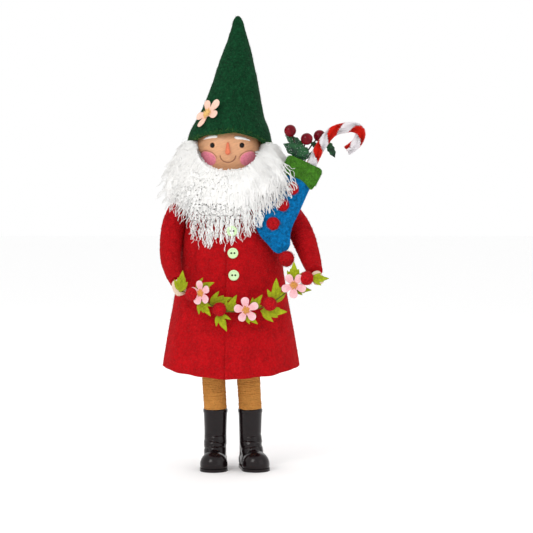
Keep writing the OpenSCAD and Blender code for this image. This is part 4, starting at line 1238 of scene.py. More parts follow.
def make_fleece(m):
    """The beard and hair: a matted bed, and locks over it in three tones of white."""
    rng = np.random.default_rng(7)
    clay = {name: [ball(place, 1, radii, 36) for place, radii in mass]
            for name, mass in (("beard", BEARD_MASS), ("hair", HAIR_MASS))}
    beds = {}
    for name, shapes in clay.items():
        points, faces = fleece_bed(shapes)
        beds[name] = (points, faces)
        mesh_piece(name + "_fleece", points, faces, m["fleece"], FIGURE, (name,), "fleece")
    whole = fleece_bed([s for shapes in clay.values() for s in shapes], 1.2)
    tree = tree_of(*whole)
    front = Front(whole)
    mesh_piece("beard_felted", *felted_layer(front), m["fleece"], FIGURE, (), "fleece")

    def behind(c):
        return (c[:, 1] > -6) & (c[:, 2] < UNDER_BRIM)

    def low_back(c):
        return (c[:, 1] > 0) & (c[:, 2] < 258)

    def beside(c):
        return (c[:, 1] > -21) & (np.abs(c[:, 0]) > 36)

    def round_face(c):
        out, opening = from_opening(c)
        return (np.abs(out - opening - 1) < 1.4) & (c[:, 1] < -9) & (c[:, 2] < 284)

    def hair_locks(bed, keep, count, length, steps, rise, swirl):
        roots = scatter(*beds[bed], count, rng, keep)
        lines = np.array([grow_line(tree, root, rng.uniform(*length), steps, rise, swirl, 3.0)
                          for root in roots])
        return lock_strands(lines, rng, *LOOKS[keep.__name__])

    sets = {
        "beard": (cover_locks(front, rng, 720), edge_locks(front, rng, 280),
                  fringe_locks(front, rng, 25, 8), stray_locks(front, rng, 110)),
        "hair": (hair_locks("hair", behind, 430, (10, 17), 12, 0.5, 0.6),
                 hair_locks("hair", low_back, 110, (12, 19), 16, 0.6, 0.7),
                 hair_locks("beard", beside, 150, (8, 13), 12, 0.4, 0.6),
                 hair_locks("beard", round_face, 170, (4, 8), 8, 0.3, 0.5))}
    for name, groups in sets.items():
        for k, (paths, radii) in enumerate(groups):
            tone = rng.integers(0, 3, len(paths))
            for t in range(3):
                chosen = tone == t
                lock = strands(f"{name}_locks_{k + 1}_{t + 1}", paths[chosen], radii[chosen],
                               m[f"fleece_{t + 1}"], FIGURE, "fleece", fleece_facing)
                # Fine wool lets light through, so the short locks throw no shadow on the fleece
                lock.visible_shadow = name == "beard" and k > 1


# ------------------------------------------------------------------ hat

BRIM_EDGE = 288.5
# Height, where the hat's middle is there, and its radius
HAT_ROWS = [(BRIM_EDGE, -0.9, 1, 36.2), (295.6, -0.7, 1, 35), (302.6, 0.2, 1, 32.8),
            (311.4, 0.6, 1.4, 28.9), (320.2, 2, 1.8, 25.9), (333.4, 3.6, 2.4, 22.2),
            (344.2, 4.6, 2.8, 19.2), (356.6, 5.2, 3.2, 15.9), (373.1, 6, 3.8, 10.8),
            (387, 6.3, 4, 6.4), (394.5, 6.3, 4, 4.3), (398.6, 6.3, 4, 1.8)]
# The felt's tip stands 1.4 mm above the last row's height
HAT_STRETCH = 1.4 / 110.1
HAT_THICK = 2.6


def hat_grid():
    """Points over the hat's outside, from the brim's edge up."""
    rows = catmull(HAT_ROWS, 9)
    angles = np.linspace(0, 2 * math.pi, 168, endpoint=False)
    first = np.array([rows[0] + (rows[1] - rows[0]) * t for t in (0, 0.08, 0.25, 0.6)])
    rows = np.concatenate([first, rows[1:]])
    height, centre_x, centre_y, radius = (rows[:, i:i + 1] for i in range(4))
    sine, cosine = np.sin(angles)[None, :], np.cos(angles)[None, :]
    tilt = 1 - smoothstep((height - UNDER_BRIM) / 45)
    # The brim's edge is cut by hand and curls out a little
    waver = tilt * (0.5 * np.sin(angles * 5 + 0.6) + 0.4 * np.sin(angles * 9 + 2.2))[None, :]
    flare = tilt ** 3 * (0.6 + 0.5 * np.sin(angles * 4 + 1.0))[None, :]
    dents = (1 - tilt) * smoothstep((392 - height) / 20) * (
        0.5 * np.sin(angles * 3 + height * 0.05))
    grid = np.zeros((len(rows), len(angles), 3))
    grid[:, :, 0] = centre_x + (radius + flare + dents) * cosine
    grid[:, :, 1] = centre_y + (radius + flare + dents) * 0.96 * sine
    grid[:, :, 2] = (height + tilt * brim_rise(angles)[None, :] + waver
                     + (height - BRIM_EDGE) * HAT_STRETCH)
    return grid


def make_hat(m):
    """The felt cone, closed at its tip, with its nap and the paler fibres of its brim, whose
    lighter green is painted rim light.
    """
    grid = hat_grid()
    rows, cols, _ = grid.shape
    normals = grid_normals(grid, True)
    flat = grid.reshape(-1, 3)
    rough = (wobble(flat, 0.35, 7, 8) + wobble(flat, 0.14, 1.8, 9)).reshape(rows, cols, 1)
    share = np.ones(rows)
    share[:4] = (0.0, 0.55, 0.85, 1.0)
    thick = HAT_THICK * np.minimum(1, grid[:, :, :2].std(axis=1).mean(axis=1) / 3.0)
    middle = grid - normals * (thick / 2)[:, None, None]
    outside = middle + normals * ((thick / 2 * share)[:, None, None] + rough * share[:, None, None])
    inside = middle - normals * (thick / 2 * share)[:, None, None]
    top = outside[-1].mean(axis=0) + (0, 0, 0.6)
    under = inside[-1].mean(axis=0)
    points = np.concatenate([outside.reshape(-1, 3), inside.reshape(-1, 3), [top], [under]])
    below = rows * cols
    last = below - cols
    faces = grid_quads(rows, cols, True).tolist()
    faces += grid_quads(rows, cols, True, below)[:, ::-1].tolist()
    for k in range(cols):
        j = (k + 1) % cols
        faces.append([j, k, below + k, below + j])
        faces.append([last + k, last + j, 2 * below])
        faces.append([below + last + j, below + last + k, 2 * below + 1])
    hat = mesh_piece("hat_felt", points, faces, m["hat"], FIGURE, ("hat",), "green_felt")

    def outside_of(centre, normal):
        return np.sum(normal[:, :2] * (centre[:, :2] - (2, 1)), axis=1) > -4

    def along_brim(centre, _):
        edge = BRIM_EDGE + brim_rise(np.arctan2(centre[:, 1], centre[:, 0]))
        return centre[:, 2] < edge + 3.1

    fuzz("hat_nap", hat, 5200, 1.9, 0.045, m["fuzz_green"], FIGURE, 41, 0.3, outside_of)
    # The brim's nap is real fibre; its paler green is painted rim light along the brim
    fuzz("hat_brim_nap", hat, 2600, 1.8, 0.05, m["fuzz_cuff"], FIGURE, 42, 0.5, along_brim)


# ------------------------------------------------------------------ cut felt


PETAL_TURNS = (90, 162, 234, 306, 18)


def petal_flower(radius, seed, turns=PETAL_TURNS, lengths=(1, 1, 1, 1, 1), wide=1.0):
    """Five rounded petals on a small middle, lying in the XY plane, as closed felt."""
    rng = np.random.default_rng(seed)
    shapes = [prism([(0.24 * radius * math.cos(a), 0.24 * radius * math.sin(a))
                     for a in np.linspace(0, 2 * math.pi, 24, endpoint=False)], -0.5, 0.5)]
    for k in range(5):
        half = np.array([(0.0, 0.12), (0.2, 0.155), (0.4, 0.235), (0.6, 0.305), (0.8, 0.30),
                         (0.94, 0.20), (1.0, 0.0)]) * radius
        half[:, 0] *= rng.uniform(0.95, 1.03) * lengths[k]
        half[:, 1] *= rng.uniform(0.95, 1.06) * wide
        right = [(w, reach) for reach, w in half]
        left = [(-w, reach) for reach, w in half[-2::-1]]
        outline = closed_curve(right + left, 5)
        turn = math.radians(turns[k] - 90 + rng.uniform(-2, 2))
        c, s = math.cos(turn), math.sin(turn)
        outline = [(c * x - s * y, s * x + c * y) for x, y in outline]
        shapes.append(prism(outline, -0.5, 0.5))
    points, faces = solid_from(shapes, 0.28, 4)
    reach = np.hypot(points[:, 0], points[:, 1])
    angle = np.arctan2(points[:, 1], points[:, 0])
    points[:, 2] += 0.0105 * reach ** 2 * (1 + 0.45 * np.sin(angle * 2 + seed))
    points[:, 2] += wobble(points, 0.09, 1.6, seed) + 0.6
    return points, faces, reach / radius


def flower_threads(radius, seed):
    """Stitches that cross the middle of a flower, in the XY plane."""
    rng = np.random.default_rng(seed)
    threads = []
    for k in range(17):
        angle = 2 * math.pi * k / 17 + rng.uniform(-0.12, 0.12)
        far = radius * rng.uniform(0.26, 0.36)
        c, s = math.cos(angle), math.sin(angle)
        line = [(0.3 * c, 0.3 * s, 1.7), (0.45 * far * c, 0.45 * far * s, 1.62),
                (0.85 * far * c, 0.85 * far * s, 1.36), (far * c, far * s, 0.95)]
        fine = catmull(line, 4)
        threads.append(capped(tube_grid(fine, np.linspace(0.42, 0.34, len(fine)), 8,
                                        (0.3, 0.2, 1))))
    return join(*threads)


def make_hat_flower(m):
    """The peach flower sewn to the hat's side."""
    def on_hat(shape):
        return turned(turned(shape, (68, 0, 0)), (0, 0, -44)) + (-19.6, -20.4, 313.4)

    points, faces, reach = petal_flower(14, 4, (102, 195, 250, 354, 45),
                                        (0.84, 0.96, 0.98, 0.9, 1.16), 0.8)
    # The petals follow the hat's round side
    points[:, 2] -= 0.006 * points[:, 0] ** 2
    flower = mesh_piece("hat_flower_petals", on_hat(points), faces, m["hat_petal"], FIGURE,
                        ("hat_flower",), "peach_felt")
    # The petals are painted paler towards their edges: a painted highlight along their rims
    paint_rim(flower, reach, (1.0, 1.0, 1.0), (1.04, 1.12, 1.14))
    points, faces = flower_threads(14.5, 5)
    mesh_piece("hat_flower_threads", on_hat(points + (0, 0, 0.3)), faces, m["hat_thread"],
               FIGURE, ("hat_flower_stitches",), "gold_thread")


def paint_rim(piece, reach, middle, rim):
    """Tints a flower lighter from its middle out to its petals' edges: a painted highlight along
    their rims.
    """
    share = smoothstep((reach - 0.45) / 0.55)[:, None]
    paint(piece, np.array(middle) * (1 - share) + np.array(rim) * share)


# ------------------------------------------------------------------ stocking

SLANT = 24.3
STOCKING_AT = np.array((65.0, -29.2, 270.0))
STOCKING_OUTLINE = [(13, -1.5), (12.6, -20), (12.7, -40), (12.4, -54), (14, -62), (17, -69),
                    (17, -74), (13.5, -79), (8, -81), (0, -77.5), (-9, -73.5), (-16, -68),
                    (-20, -61), (-19, -52), (-15.5, -44), (-14.2, -30), (-14, -1.5)]
CUFF_OUTLINE = [(-16, 0), (-8, 1.6), (6, 1.6), (16, 0), (15.4, -14), (13.6, -18.6), (7, -16),
                (0, -14.6), (-8, -15), (-15.4, -15.6)]
HALF_ROOM = 3.8
STOCKING_FELT = 1.5


def at_stocking(points):
    """From the stocking's own upright plane, with Z up out of its mouth, to the figure."""
    return turned(points, (0, SLANT, 0)) + STOCKING_AT


def edge_distance(points, outline):
    """Distance in the XZ plane from points to an outline."""
    outline = np.asarray(outline, float)
    ends = np.roll(outline, -1, axis=0)
    best = np.full(len(points), 1e9)
    flat = points[:, (0, 2)]
    for a, b in zip(outline, ends):
        span = b - a
        t = np.clip(((flat - a) @ span) / max(span @ span, 1e-9), 0, 1)
        best = np.minimum(best, np.linalg.norm(flat - a - t[:, None] * span, axis=1))
    return best


def upright_prism(outline, near, far):
    """A closed prism on an outline in the XZ plane, from y = near to y = far."""
    points, faces = prism(outline, 0, 1)
    points = np.array([(x, near + (far - near) * t, z) for x, z, t in points])
    return points, [face[::-1] for face in faces]


def make_stocking(m):
    """The stocking: two felts round a wad, a folded cuff, dots and a ball at its toe."""
    edge = [tuple(p) for p in catmull(STOCKING_OUTLINE, 4)]
    seam = edge[1:-1]
    pieces = []
    for name, near, far in (("front", -HALF_ROOM - STOCKING_FELT, -HALF_ROOM),
                            ("back", HALF_ROOM, HALF_ROOM + STOCKING_FELT)):
        points, faces = solid_from((upright_prism(edge, near, far),), 0.5, 6)
        side = -1 if name == "front" else 1
        inside = edge_distance(points, seam)
        # The two felts are sewn together at their edges and puff apart in the middle
        sewn = 1 - smoothstep(inside / 7.0)
        open_top = smoothstep((points[:, 2] + 14) / 12)
        points[:, 1] -= side * 3.15 * sewn * (1 - open_top)
        points[:, 1] += side * 0.5 * smoothstep(inside / 9)
        points[:, 1] += wobble(points, 0.55, 8, 12) + wobble(points, 0.16, 1.9, 13)
        felt = mesh_piece(f"stocking_{name}_felt", at_stocking(points), faces, m["stocking"],
                          FIGURE, ("stocking_" + name,))
        pieces.append(felt)
    fuzz("stocking_nap", pieces[0], 3000, 1.6, 0.045, m["fuzz_blue"], FIGURE, 51, 0.35)
    fuzz("stocking_back_nap", pieces[1], 1800, 1.6, 0.045, m["fuzz_blue"], FIGURE, 52, 0.35)

    points, faces = solid_from((upright_prism(edge, -HALF_ROOM + 0.2, HALF_ROOM - 0.2),), 0.7, 6)
    inside = edge_distance(points, seam)
    points[:, 1] *= smoothstep(inside / 8.0) * 0.92
    points[:, (0, 2)] = (points[:, (0, 2)] - (0, -42)) * (0.9, 0.955) + (0, -42)
    wad = mesh_piece("stocking_wadding", at_stocking(points), faces, m["wadding"], FIGURE,
                     ("stocking_stuffing",), "wadding")

    # The cuff is a band of felt folded down round the mouth
    thickness = HALF_ROOM + STOCKING_FELT + 1.5
    line = [tuple(p) for p in closed_curve(CUFF_OUTLINE, 5)]
    halves = []
    for side in (-1, 1):
        near, far = sorted((side * (thickness - 1.5), side * thickness))
        halves.append(upright_prism(line, near, far))
    for x0, x1 in ((-16.4, -13.6), (13.4, 16.2)):
        lip = [(x0, -14), (x1, -14), (x1, -0.4), (x0, -0.4)]
        halves.append(upright_prism(lip, -thickness + 0.4, thickness - 0.4))
    points, faces = solid_from(halves, 0.5, 6)
    x, z = points[:, 0], points[:, 2]
    points[:, 1] *= 1 + 0.05 * np.cos(z / 6)
    points[:, 1] -= np.sign(points[:, 1]) * 1.1 * smoothstep((np.abs(x) - 12.5) / 4)
    points[:, 1] += wobble(points, 0.4, 8, 15) + wobble(points, 0.16, 1.8, 16)
    cuff = mesh_piece("stocking_cuff_felt", at_stocking(points), faces, m["cuff"], FIGURE,
                      ("stocking_cuff",))
    fuzz("stocking_cuff_nap", cuff, 2200, 1.5, 0.045, m["fuzz_cuff"], FIGURE, 53, 0.4)

    dots = []
    for k, (u, w) in enumerate(((-1.4, -24), (-3.2, -40.5), (-4, -58.5))):
        points, faces = ball((0, 0, 0), 5.5, (1, 0.92, 1), 56)
        lumps = 1 + wobble(points, 0.045, 1.6, 60 + k) + wobble(points, 0.05, 5, k)
        points = points * lumps[:, None]
        points[:, 1] = np.minimum(points[:, 1], 0.3)
        dots.append((points + (u, -HALF_ROOM - STOCKING_FELT - 0.4, w), faces))
    points, faces = join(*dots)
    dot = mesh_piece("stocking_dots", at_stocking(points), faces, m["red_wool"], FIGURE,
                     ("stocking_pompoms",), "red_wool")
    fuzz("stocking_dot_nap", dot, 1500, 1.3, 0.05, m["fuzz_red"], FIGURE, 54, 0.6)
    points, faces = wool_ball(7.0, 64)
    toe = mesh_piece("stocking_toe_ball", at_stocking(points + (19, 0, -82)), faces,
                     m["red_wool"], FIGURE, ("stocking_toe_pompom",), "red_wool")
    fuzz("stocking_toe_nap", toe, 1100, 1.4, 0.05, m["fuzz_red"], FIGURE, 55, 0.6)


def wool_ball(radius, seed):
    """A felted ball, lumpy and a little pitted."""
    points, faces = ball((0, 0, 0), radius, (1, 1, 1), 60)
    lumps = wobble(points, 0.035, 5, seed) + wobble(points, 0.03, 1.3, seed + 1)
    return points * (0.985 + lumps)[:, None], faces


# ------------------------------------------------------------------ candy cane and holly

CANE_BEND = [(5.4, 0, -26), (5.4, 0, -10), (5.3, 0, 6), (5.8, 0, 17), (7.3, 0, 26), (9.3, 0, 33),
             (12.6, 0, 37.8), (17.4, 0, 41.6), (22.2, 0, 44.8), (27.2, 0, 46.4), (31.6, 0, 45.2),
             (33.6, 0, 41), (33.4, 0, 35.2), (31.4, 0, 30), (28.6, 0, 25.6)]
CHENILLE = 3.5
CANE_RADIUS = 4.7
# How far along the cane each red band is, from the stems' lower ends
RED_BANDS = (14, 34, 54, 79, 105)


def chenille(name, turn, core_material, pile_material, hides, slot, seed):
    """One chenille stem wound round the cane's line: a twisted core and its radial pile."""
    line, _ = resample(catmull(CANE_BEND, 6), 0.4)
    tangents = unit(np.gradient(line, axis=0))
    u = unit(np.cross((0.0, 1.0, 0.0), tangents))
    along = np.concatenate([[0], np.cumsum(np.linalg.norm(np.diff(line, axis=0), axis=1))])
    # One turn for each band, and at the same pitch below the first
    turns = np.interp(along, RED_BANDS, range(len(RED_BANDS)))
    turns += np.minimum(along - RED_BANDS[0], 0) / 20
    angle = np.radians(turn) - 2 * math.pi * turns
    out = CHENILLE / 2 + 0.05
    stem = line + out * (np.cos(angle)[:, None] * u + np.sin(angle)[:, None] * (0, 1, 0))
    points, faces = capped(tube_grid(stem, [1.75] * len(stem), 20))
    points = points + wobble(points, 0.35, 0.9, seed)[:, None] * np.array((0.6, 0.6, 0.6))
    mesh_piece(name, at_stocking(points), faces, core_material, CANE, hides, slot)
    rng = np.random.default_rng(seed)
    count = 14000
    pick = rng.integers(0, len(stem), count)
    root = stem[pick]
    # The pile fills its stem's half of the rope, and is trimmed to one length
    aside = angle[pick] + rng.uniform(-math.pi / 2, math.pi / 2, count)
    rim = CANE_RADIUS * rng.uniform(0.84, 1.0, count)
    tip = line[pick] + rim[:, None] * (np.cos(aside)[:, None] * u[pick]
                                       + np.sin(aside)[:, None] * (0, 1, 0))
    tip = tip + tangents[pick] * rng.normal(0, 0.5, (count, 1))
    steps = np.array([0.35, 0.7, 1.0])[None, :, None]
    paths = root[:, None] + (tip - root)[:, None] * steps
    radii = np.array([0.17, 0.17, 0.11])[None, :] * rng.uniform(0.8, 1.2, (count, 1))
    axis = at_stocking(line)
    line_tree = KDTree(len(axis))
    for k, place in enumerate(axis):
        line_tree.insert(Vector(place), k)
    line_tree.balance()

    def away_from_axis(points):
        near = axis[[line_tree.find(Vector(p))[1] for p in points]]
        return unit(points - near)

    strands(name + "_pile", at_stocking(paths.reshape(-1, 3)).reshape(paths.shape), radii,
            pile_material, CANE, slot, away_from_axis)


def make_cane(m):
    """The red and the white stem, twisted together."""
    for name, turn, seed in (("red", 20, 71), ("white", 200, 72)):
        chenille("cane_" + name, turn, m["core_" + name], m["pile_" + name],
                 ("candy_cane_" + name,), "chenille_" + name, seed)


HOLLY_Y = -2.2
HOLLY_LINES = [[(-9, 0, -18), (-9, HOLLY_Y, 2), (-15.5, HOLLY_Y, 12.5), (-23.6, HOLLY_Y, 20.6)],
               [(-6, 0, -18), (-6, HOLLY_Y, 2), (-6.8, HOLLY_Y, 11), (-7.6, HOLLY_Y, 20)],
               [(-3, 0, -18), (-3, 0.4, 2), (-2, 4.6, 14), (1.6, 9.6, 27.4)]]
LEAF_STEM = [(-1.4, 0, -18), (-1.4, 0.5, -4), (-0.8, 3.6, 6), (3, 6.6, 15), (9, 7.0, 23.8)]
# Place of each holly leaf's base, its direction, length and width
HOLLY_LEAVES = [((0.6, HOLLY_Y - 0.9, 7.0), 178, 25, 14),
                ((-7.5, HOLLY_Y + 1.3, 12.2), 170, 19, 8.5),
                ((4.4, 6.9, 18), 174, 8, 5), ((10.2, 7.0, 25.2), -40, 15, 7)]


def holly_leaf(long, wide, seed):
    """A prickly leaf with a raised middle vein, in the XZ plane with its tip on +X."""
    half = [(0, 0.30), (0.10, 0.6), (0.19, 0.94), (0.3, 0.78), (0.45, 1.02), (0.57, 0.76),
            (0.72, 0.80), (0.84, 0.42), (1, 0.02)]
    shares = np.linspace(0, 1, 46)
    edge = np.interp(shares, [p[0] for p in half], [p[1] for p in half]) * wide / 2
    across = np.linspace(-1, 1, 25)
    grid = np.zeros((len(shares), len(across), 3))
    grid[:, :, 0] = (shares * long)[:, None]
    grid[:, :, 2] = edge[:, None] * across[None, :]
    vein = 0.32 * np.exp(-(grid[:, :, 2] / 0.45) ** 2)
    ribs = 0.10 * np.cos((shares[:, None] * 15 - np.abs(across)[None, :] * 2.2) * 2)
    cup = 0.055 * grid[:, :, 2] ** 2
    wave = 0.5 * np.sin(shares * 12 + seed)[:, None] * np.abs(across)[None, :] ** 2
    arch = 1.3 * np.sin(shares * math.pi * 0.9)[:, None]
    lift = -(vein + ribs * np.abs(across)[None, :] * 0.6) + cup + wave - arch
    front, back = grid.copy(), grid.copy()
    front[:, :, 1] = lift - 0.22
    back[:, :, 1] = lift + 0.22
    return thin_shell(front, back)


def make_holly(m):
    """Three berries and four leaves on bare stems."""
    stems = [capped(tube_grid(catmull(line, 8), [0.62] * (8 * (len(line) - 1) + 1), 10))
             for line in HOLLY_LINES + [LEAF_STEM]]
    points, faces = join(*stems)
    mesh_piece("holly_twigs", at_stocking(points), faces, m["stem"], HOLLY, ("holly_stems",),
               "stem")
    leaves = []
    for k, (place, direction, long, wide) in enumerate(HOLLY_LEAVES):
        points, faces = holly_leaf(long, wide, k)
        leaves.append((turned(points, (0, -direction, 0)) + place, faces))
    points, faces = join(*leaves)
    mesh_piece("holly_foliage", at_stocking(points), faces, m["holly"], HOLLY,
               ("holly_leaves",), "holly_plastic")
    berries = []
    for k, line in enumerate(HOLLY_LINES):
        points, faces = ball((0, 0, 0), 5.2, (1, 1, 1.02), 56)
        points = points * (1 + wobble(points, 0.02, 4, 80 + k))[:, None]
        berries.append((points + line[-1], faces))
    points, faces = join(*berries)
    mesh_piece("holly_berry_skins", at_stocking(points), faces, m["berry"], HOLLY,
               ("holly_berries",), "berry")
    # Flecks of glitter on the leaves next to the beard
    rng = np.random.default_rng(81)
    shape = np.concatenate([leaves[0][0], leaves[1][0]])
    flecks = []
    for place in shape[rng.choice(len(shape), 260)]:
        tilt = rng.uniform(-70, 70, 3)
        corner = np.array([(-0.2, 0, -0.17), (0.2, 0, -0.17), (0.2, 0, 0.17), (-0.2, 0, 0.17),
                           (0, 0.08, 0)])
        body = turned(corner * rng.uniform(0.7, 1.3), tilt) + place + (0, -0.28, 0)
        flecks.append((body, [[0, 1, 2, 3], [1, 0, 4], [2, 1, 4], [3, 2, 4], [0, 3, 4]]))
    points, faces = join(*flecks)
    mesh_piece("holly_glitter", at_stocking(points), faces, m["glitter"], HOLLY, (),
               "holly_plastic")


# ------------------------------------------------------------------ garland

GARLAND_Y = -50.5
TWINE = 1.0
CORD_ROUTE = [(-43.5, -50, 160.6), (-38.5, GARLAND_Y, 159.8), (-32, GARLAND_Y, 158),
              (-26, GARLAND_Y, 155.8), (-20, GARLAND_Y, 151.6), (-14.5, GARLAND_Y, 147.6),
              (-9, GARLAND_Y, 145), (-3, GARLAND_Y, 143.4), (4, GARLAND_Y, 143),
              (14, GARLAND_Y, 143.8), (22, GARLAND_Y, 145.2), (28.5, GARLAND_Y, 147),
              (34.5, GARLAND_Y, 149.6), (40, GARLAND_Y, 153.2), (47, GARLAND_Y, 158.6),
              (55, GARLAND_Y, 165), (60.5, GARLAND_Y, 169), (66, GARLAND_Y, 171.8),
              (71, GARLAND_Y, 173.6), (76, -49.6, 174.4)]
BALL_PLACES = [(-32.4, 158.1), (-9, 145), (34.5, 149.6), (66, 171.8)]
# X and Z of each flower, its turn and yaw, and how far in front of the twine
FLOWER_PLACES = [(-24.3, 159.5, 10, -35, 4.2), (14, 144.6, 6, 0, 0), (54.9, 165.8, 36, 0, 0)]
# X and Z of each leaf's base, its direction, its length, how far behind the twine, its tilt
LEAVES = {
    "right": [(-30, 161.5, 20, 18, 4.4, 0), (-26.5, 152.5, 304, 17, 2.1, 2),
              (-18, 148.4, 20, 21, 4.2, 0)],
    "middle": [(-3, 142.6, 56, 17.5, 2.2, 0), (-10, 141.5, 296, 17.5, 2.4, 8),
               (12, 141.6, 326, 15.5, 1.9, 0), (18.5, 144.8, 54, 16, 4, 0)],
    "left": [(26.5, 143.5, 354, 23, 2.2, 2), (39, 149.4, 86, 22.5, 3.6, 0),
             (55.2, 166, 87, 20, 1.9, 0), (55, 163, 350, 15.5, 3.4, 0)]}


def make_cord_line(m):
    """The twine as a curve, and its length in metres."""
    route = catmull(CORD_ROUTE, 3)
    curve = bpy.data.curves.new("garland_twine", "CURVE")
    curve.dimensions = "3D"
    curve.bevel_depth = TWINE / 2 * MM
    curve.bevel_resolution = 3
    curve.use_fill_caps = True
    spline = curve.splines.new("POLY")
    spline.points.add(len(route) - 1)
    for point, place in zip(spline.points, in_row(route)):
        point.co = (*place, 1)
    cord = linked("garland_twine", curve)
    curve.materials.append(m["cord"])
    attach(cord, GARLAND)
    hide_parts("garland_cord")
    length = np.linalg.norm(np.diff(route, axis=0), axis=1).sum() * MM
    return cord, length


def lobe(long, wide, turn_deg, kink):
    """Outline of one pointed lobe of a leaf, from the origin."""
    half = [(0, 0.16), (0.14, 0.32), (0.32, 0.92), (0.5, 1.0), (0.68, 0.82), (0.85, 0.46),
            (1.0, 0.03)]
    right = [(w * wide / 2, t * long) for t, w in half]
    left = [(-w * wide / 2, t * long) for t, w in half[::-1]]
    outline = np.array(right + left)
    outline[:, 0] += kink * (outline[:, 1] / long) ** 2
    turn = math.radians(turn_deg)
    c, s = math.cos(turn), math.sin(turn)
    outline = outline @ np.array([[c, s], [-s, c]])
    return [tuple(p) for p in closed_curve(outline, 3)]


def leaf_shape(long, seed):
    """A felt leaf cut into pointed lobes, in the XY plane, longest towards +Y."""
    rng = np.random.default_rng(seed)
    lobes = [lobe(long, 0.31 * long, rng.uniform(-3, 3), rng.uniform(-0.8, 0.8))]
    for side in (-1, 1):
        for start, reach, spread in ((0.0, 0.66, 36), (0.32, 0.38, 30)):
            outline = lobe(long * reach * rng.uniform(0.9, 1.12), 0.21 * long,
                           side * (spread + rng.uniform(-5, 5)), side * 0.7)
            lobes.append([(x, y + start * long) for x, y in outline])
    shapes = [prism(outline, -0.55, 0.55) for outline in lobes]
    points, faces = solid_from(shapes, 0.33, 5)
    x, y = points[:, 0], points[:, 1]
    bend_up = rng.uniform(-0.004, 0.0075)
    crease = 0.35 * np.exp(-(x / 0.55) ** 2) * (y > 0.1 * long) * (y < 0.85 * long)
    points[:, 2] += bend_up * y ** 2 + 0.012 * x ** 2 - crease
    points[:, 2] += wobble(points, 0.10, 1.8, seed)
    flat = np.stack([x, x * 0, y], 1)
    edge = np.min([edge_distance(flat, outline) for outline in lobes], axis=0)
    shade_along = smoothstep(y / long)
    tint = rng.uniform(-0.12, 0.15)
    lime = np.array((1.12, 1.18, 1.0)) + tint
    olive = np.array((0.62, 0.56, 0.9)) + tint * 0.5
    patch = 0.5 + 0.9 * wobble(points, 1.0, 6, seed + 3)
    mix = np.clip(0.35 + 0.5 * shade_along * patch + 0.25 * smoothstep(edge / 1.1), 0, 1)[:, None]
    colour = olive * (1 - mix) + lime * mix
    return points, faces, colour


def make_leaf(place, seed):
    """A leaf that hangs on the garland."""
    x, z, direction, long, behind, tilt = place
    points, faces, colour = leaf_shape(long, seed)
    points = turned(points, (tilt, 0, 0))
    points = turned(points, (0, 0, direction - 90))
    points = turned(points, (90, 0, 0))
    return points + (x, GARLAND_Y + behind - 0.6, z), faces, colour


def make_garland(m):
    """Leaves, flowers and wool balls on their twine."""
    cord, length = make_cord_line(m)
    strung = []
    for k, (name, places) in enumerate(LEAVES.items()):
        made = [make_leaf(place, 100 + 10 * k + i) for i, place in enumerate(places)]
        points, faces = join(*[(p, f) for p, f, _ in made])
        leaf = mesh_piece(f"garland_foliage_{name}", points, faces, m["leaf"], GARLAND,
                          ("garland_leaves_" + name,), "leaf_felt")
        paint(leaf, np.concatenate([c for _, _, c in made]))
        strung.append(leaf)
    threads = []
    for k, (x, z, turn, yaw, forward) in enumerate(FLOWER_PLACES):
        points, faces, reach = petal_flower(11, 20 + k)
        stitches, stitch_faces = flower_threads(11, 30 + k)
        points, stitches = (
            turned(turned(turned(shape, (0, 0, turn)), (90, 0, 0)), (0, 0, yaw))
            + (x, GARLAND_Y - 0.7 - forward, z) for shape in (points, stitches))
        flower = mesh_piece(f"garland_blossom_{k + 1}", points, faces, m["petal"], GARLAND,
                            (f"garland_flower_{k + 1}",), "petal_felt")
        # The petals are painted paler towards their edges: a painted highlight along their rims
        paint_rim(flower, reach, (0.97, 0.90, 0.92), (1.05, 1.16, 1.16))
        strung.append(flower)
        threads.append((stitches, stitch_faces))
    strung.append(mesh_piece("garland_blossom_threads", *join(*threads), m["thread"], GARLAND,
                             ("garland_flower_stitches",), "gold_thread"))
    for k, (x, z) in enumerate(BALL_PLACES):
        points, faces = wool_ball(6.0, 90 + 2 * k)
        wool = mesh_piece(f"garland_wool_ball_{k + 1}", points + (x, GARLAND_Y, z), faces,
                          m["red_wool"], GARLAND, (f"garland_ball_{k + 1}",), "red_wool")
        nap = fuzz(f"garland_ball_nap_{k + 1}", wool, 700, 1.2, 0.045, m["fuzz_red"], GARLAND,
                   95 + k, 0.6)
        strung += [wool, nap]


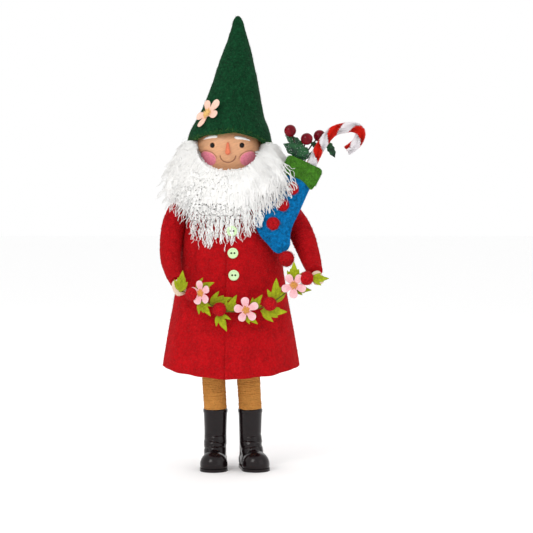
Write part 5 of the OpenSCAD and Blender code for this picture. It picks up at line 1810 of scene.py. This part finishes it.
def make_hand_leaves(m):
    """The leaf that each hand holds over the twine's end."""
    for name, place, direction, long, seed in (
            ("right", (-42.4, -51.5, 159.8), 84, 19, 141),
            ("left", (70.4, -51.9, 171.6), 1, 15, 142)):
        points, faces, colour = leaf_shape(long, seed)
        points = turned(turned(points, (0, 0, direction - 90)), (90, 0, 0)) + place
        leaf = mesh_piece(f"{name}_hand_foliage", points, faces, m["leaf"], FIGURE,
                          (f"{name}_hand_leaf",), "leaf_felt")
        paint(leaf, colour)


# ------------------------------------------------------------------ carried CAD nodes


def dress_cad(m):
    """Materials for the nodes that keep their CAD shape."""
    for node, material in (
            ("coat_buttons", "button"), ("right_boot_sole", "boot"), ("left_boot_sole", "boot"),
            ("torso_core", "foam"), ("neck_dowel", "wood"), ("right_leg_dowel", "wood"),
            ("left_leg_dowel", "wood"), ("head_ball", "wood"), ("arm_wire", "steel"),
            ("hat_stuffing", "wadding")):
        solid = bpy.data.objects[node]
        solid.data.materials.clear()
        solid.data.materials.append(m[material])


BUTTON_TOP, BUTTON_PITCH = 211.5, 19.0


def make_button_holes(m):
    """Near-black plugs in each button's two holes: painted shade where the holes look dark."""
    rows = np.array(COAT_ROWS[::-1])
    shapes = []
    for k in range(3):
        z = BUTTON_TOP - k * BUTTON_PITCH
        y = -np.interp(z, rows[:, 0], rows[:, 2]) - PLACKET_LIFT - 2.1
        for across in (-1.35, 1.35):
            shapes.append(ball((1.6 + 0.8 * k + across, y, z + 0.2), 0.8, (1, 0.3, 1), 16))
    mesh_piece("button_threads", *join(*shapes), m["hole"], FIGURE, (), "button_plastic")


def main():
    """Makes everything, the camera and the cord first."""
    make_camera()
    m = make_materials()
    make_garland(m)
    make_studio()
    make_floor()
    dress_cad(m)
    make_button_holes(m)
    for side in ("right", "left"):
        make_leg(side, m)
        make_boot(side, m)
        make_sleeve(side, m)
        make_hand(side, m)
    make_hand_leaves(m)
    make_coat(m)
    make_face(m)
    make_features(m)
    make_hat(m)
    make_hat_flower(m)
    make_stocking(m)
    make_cane(m)
    make_holly(m)
    make_fleece(m)


main()
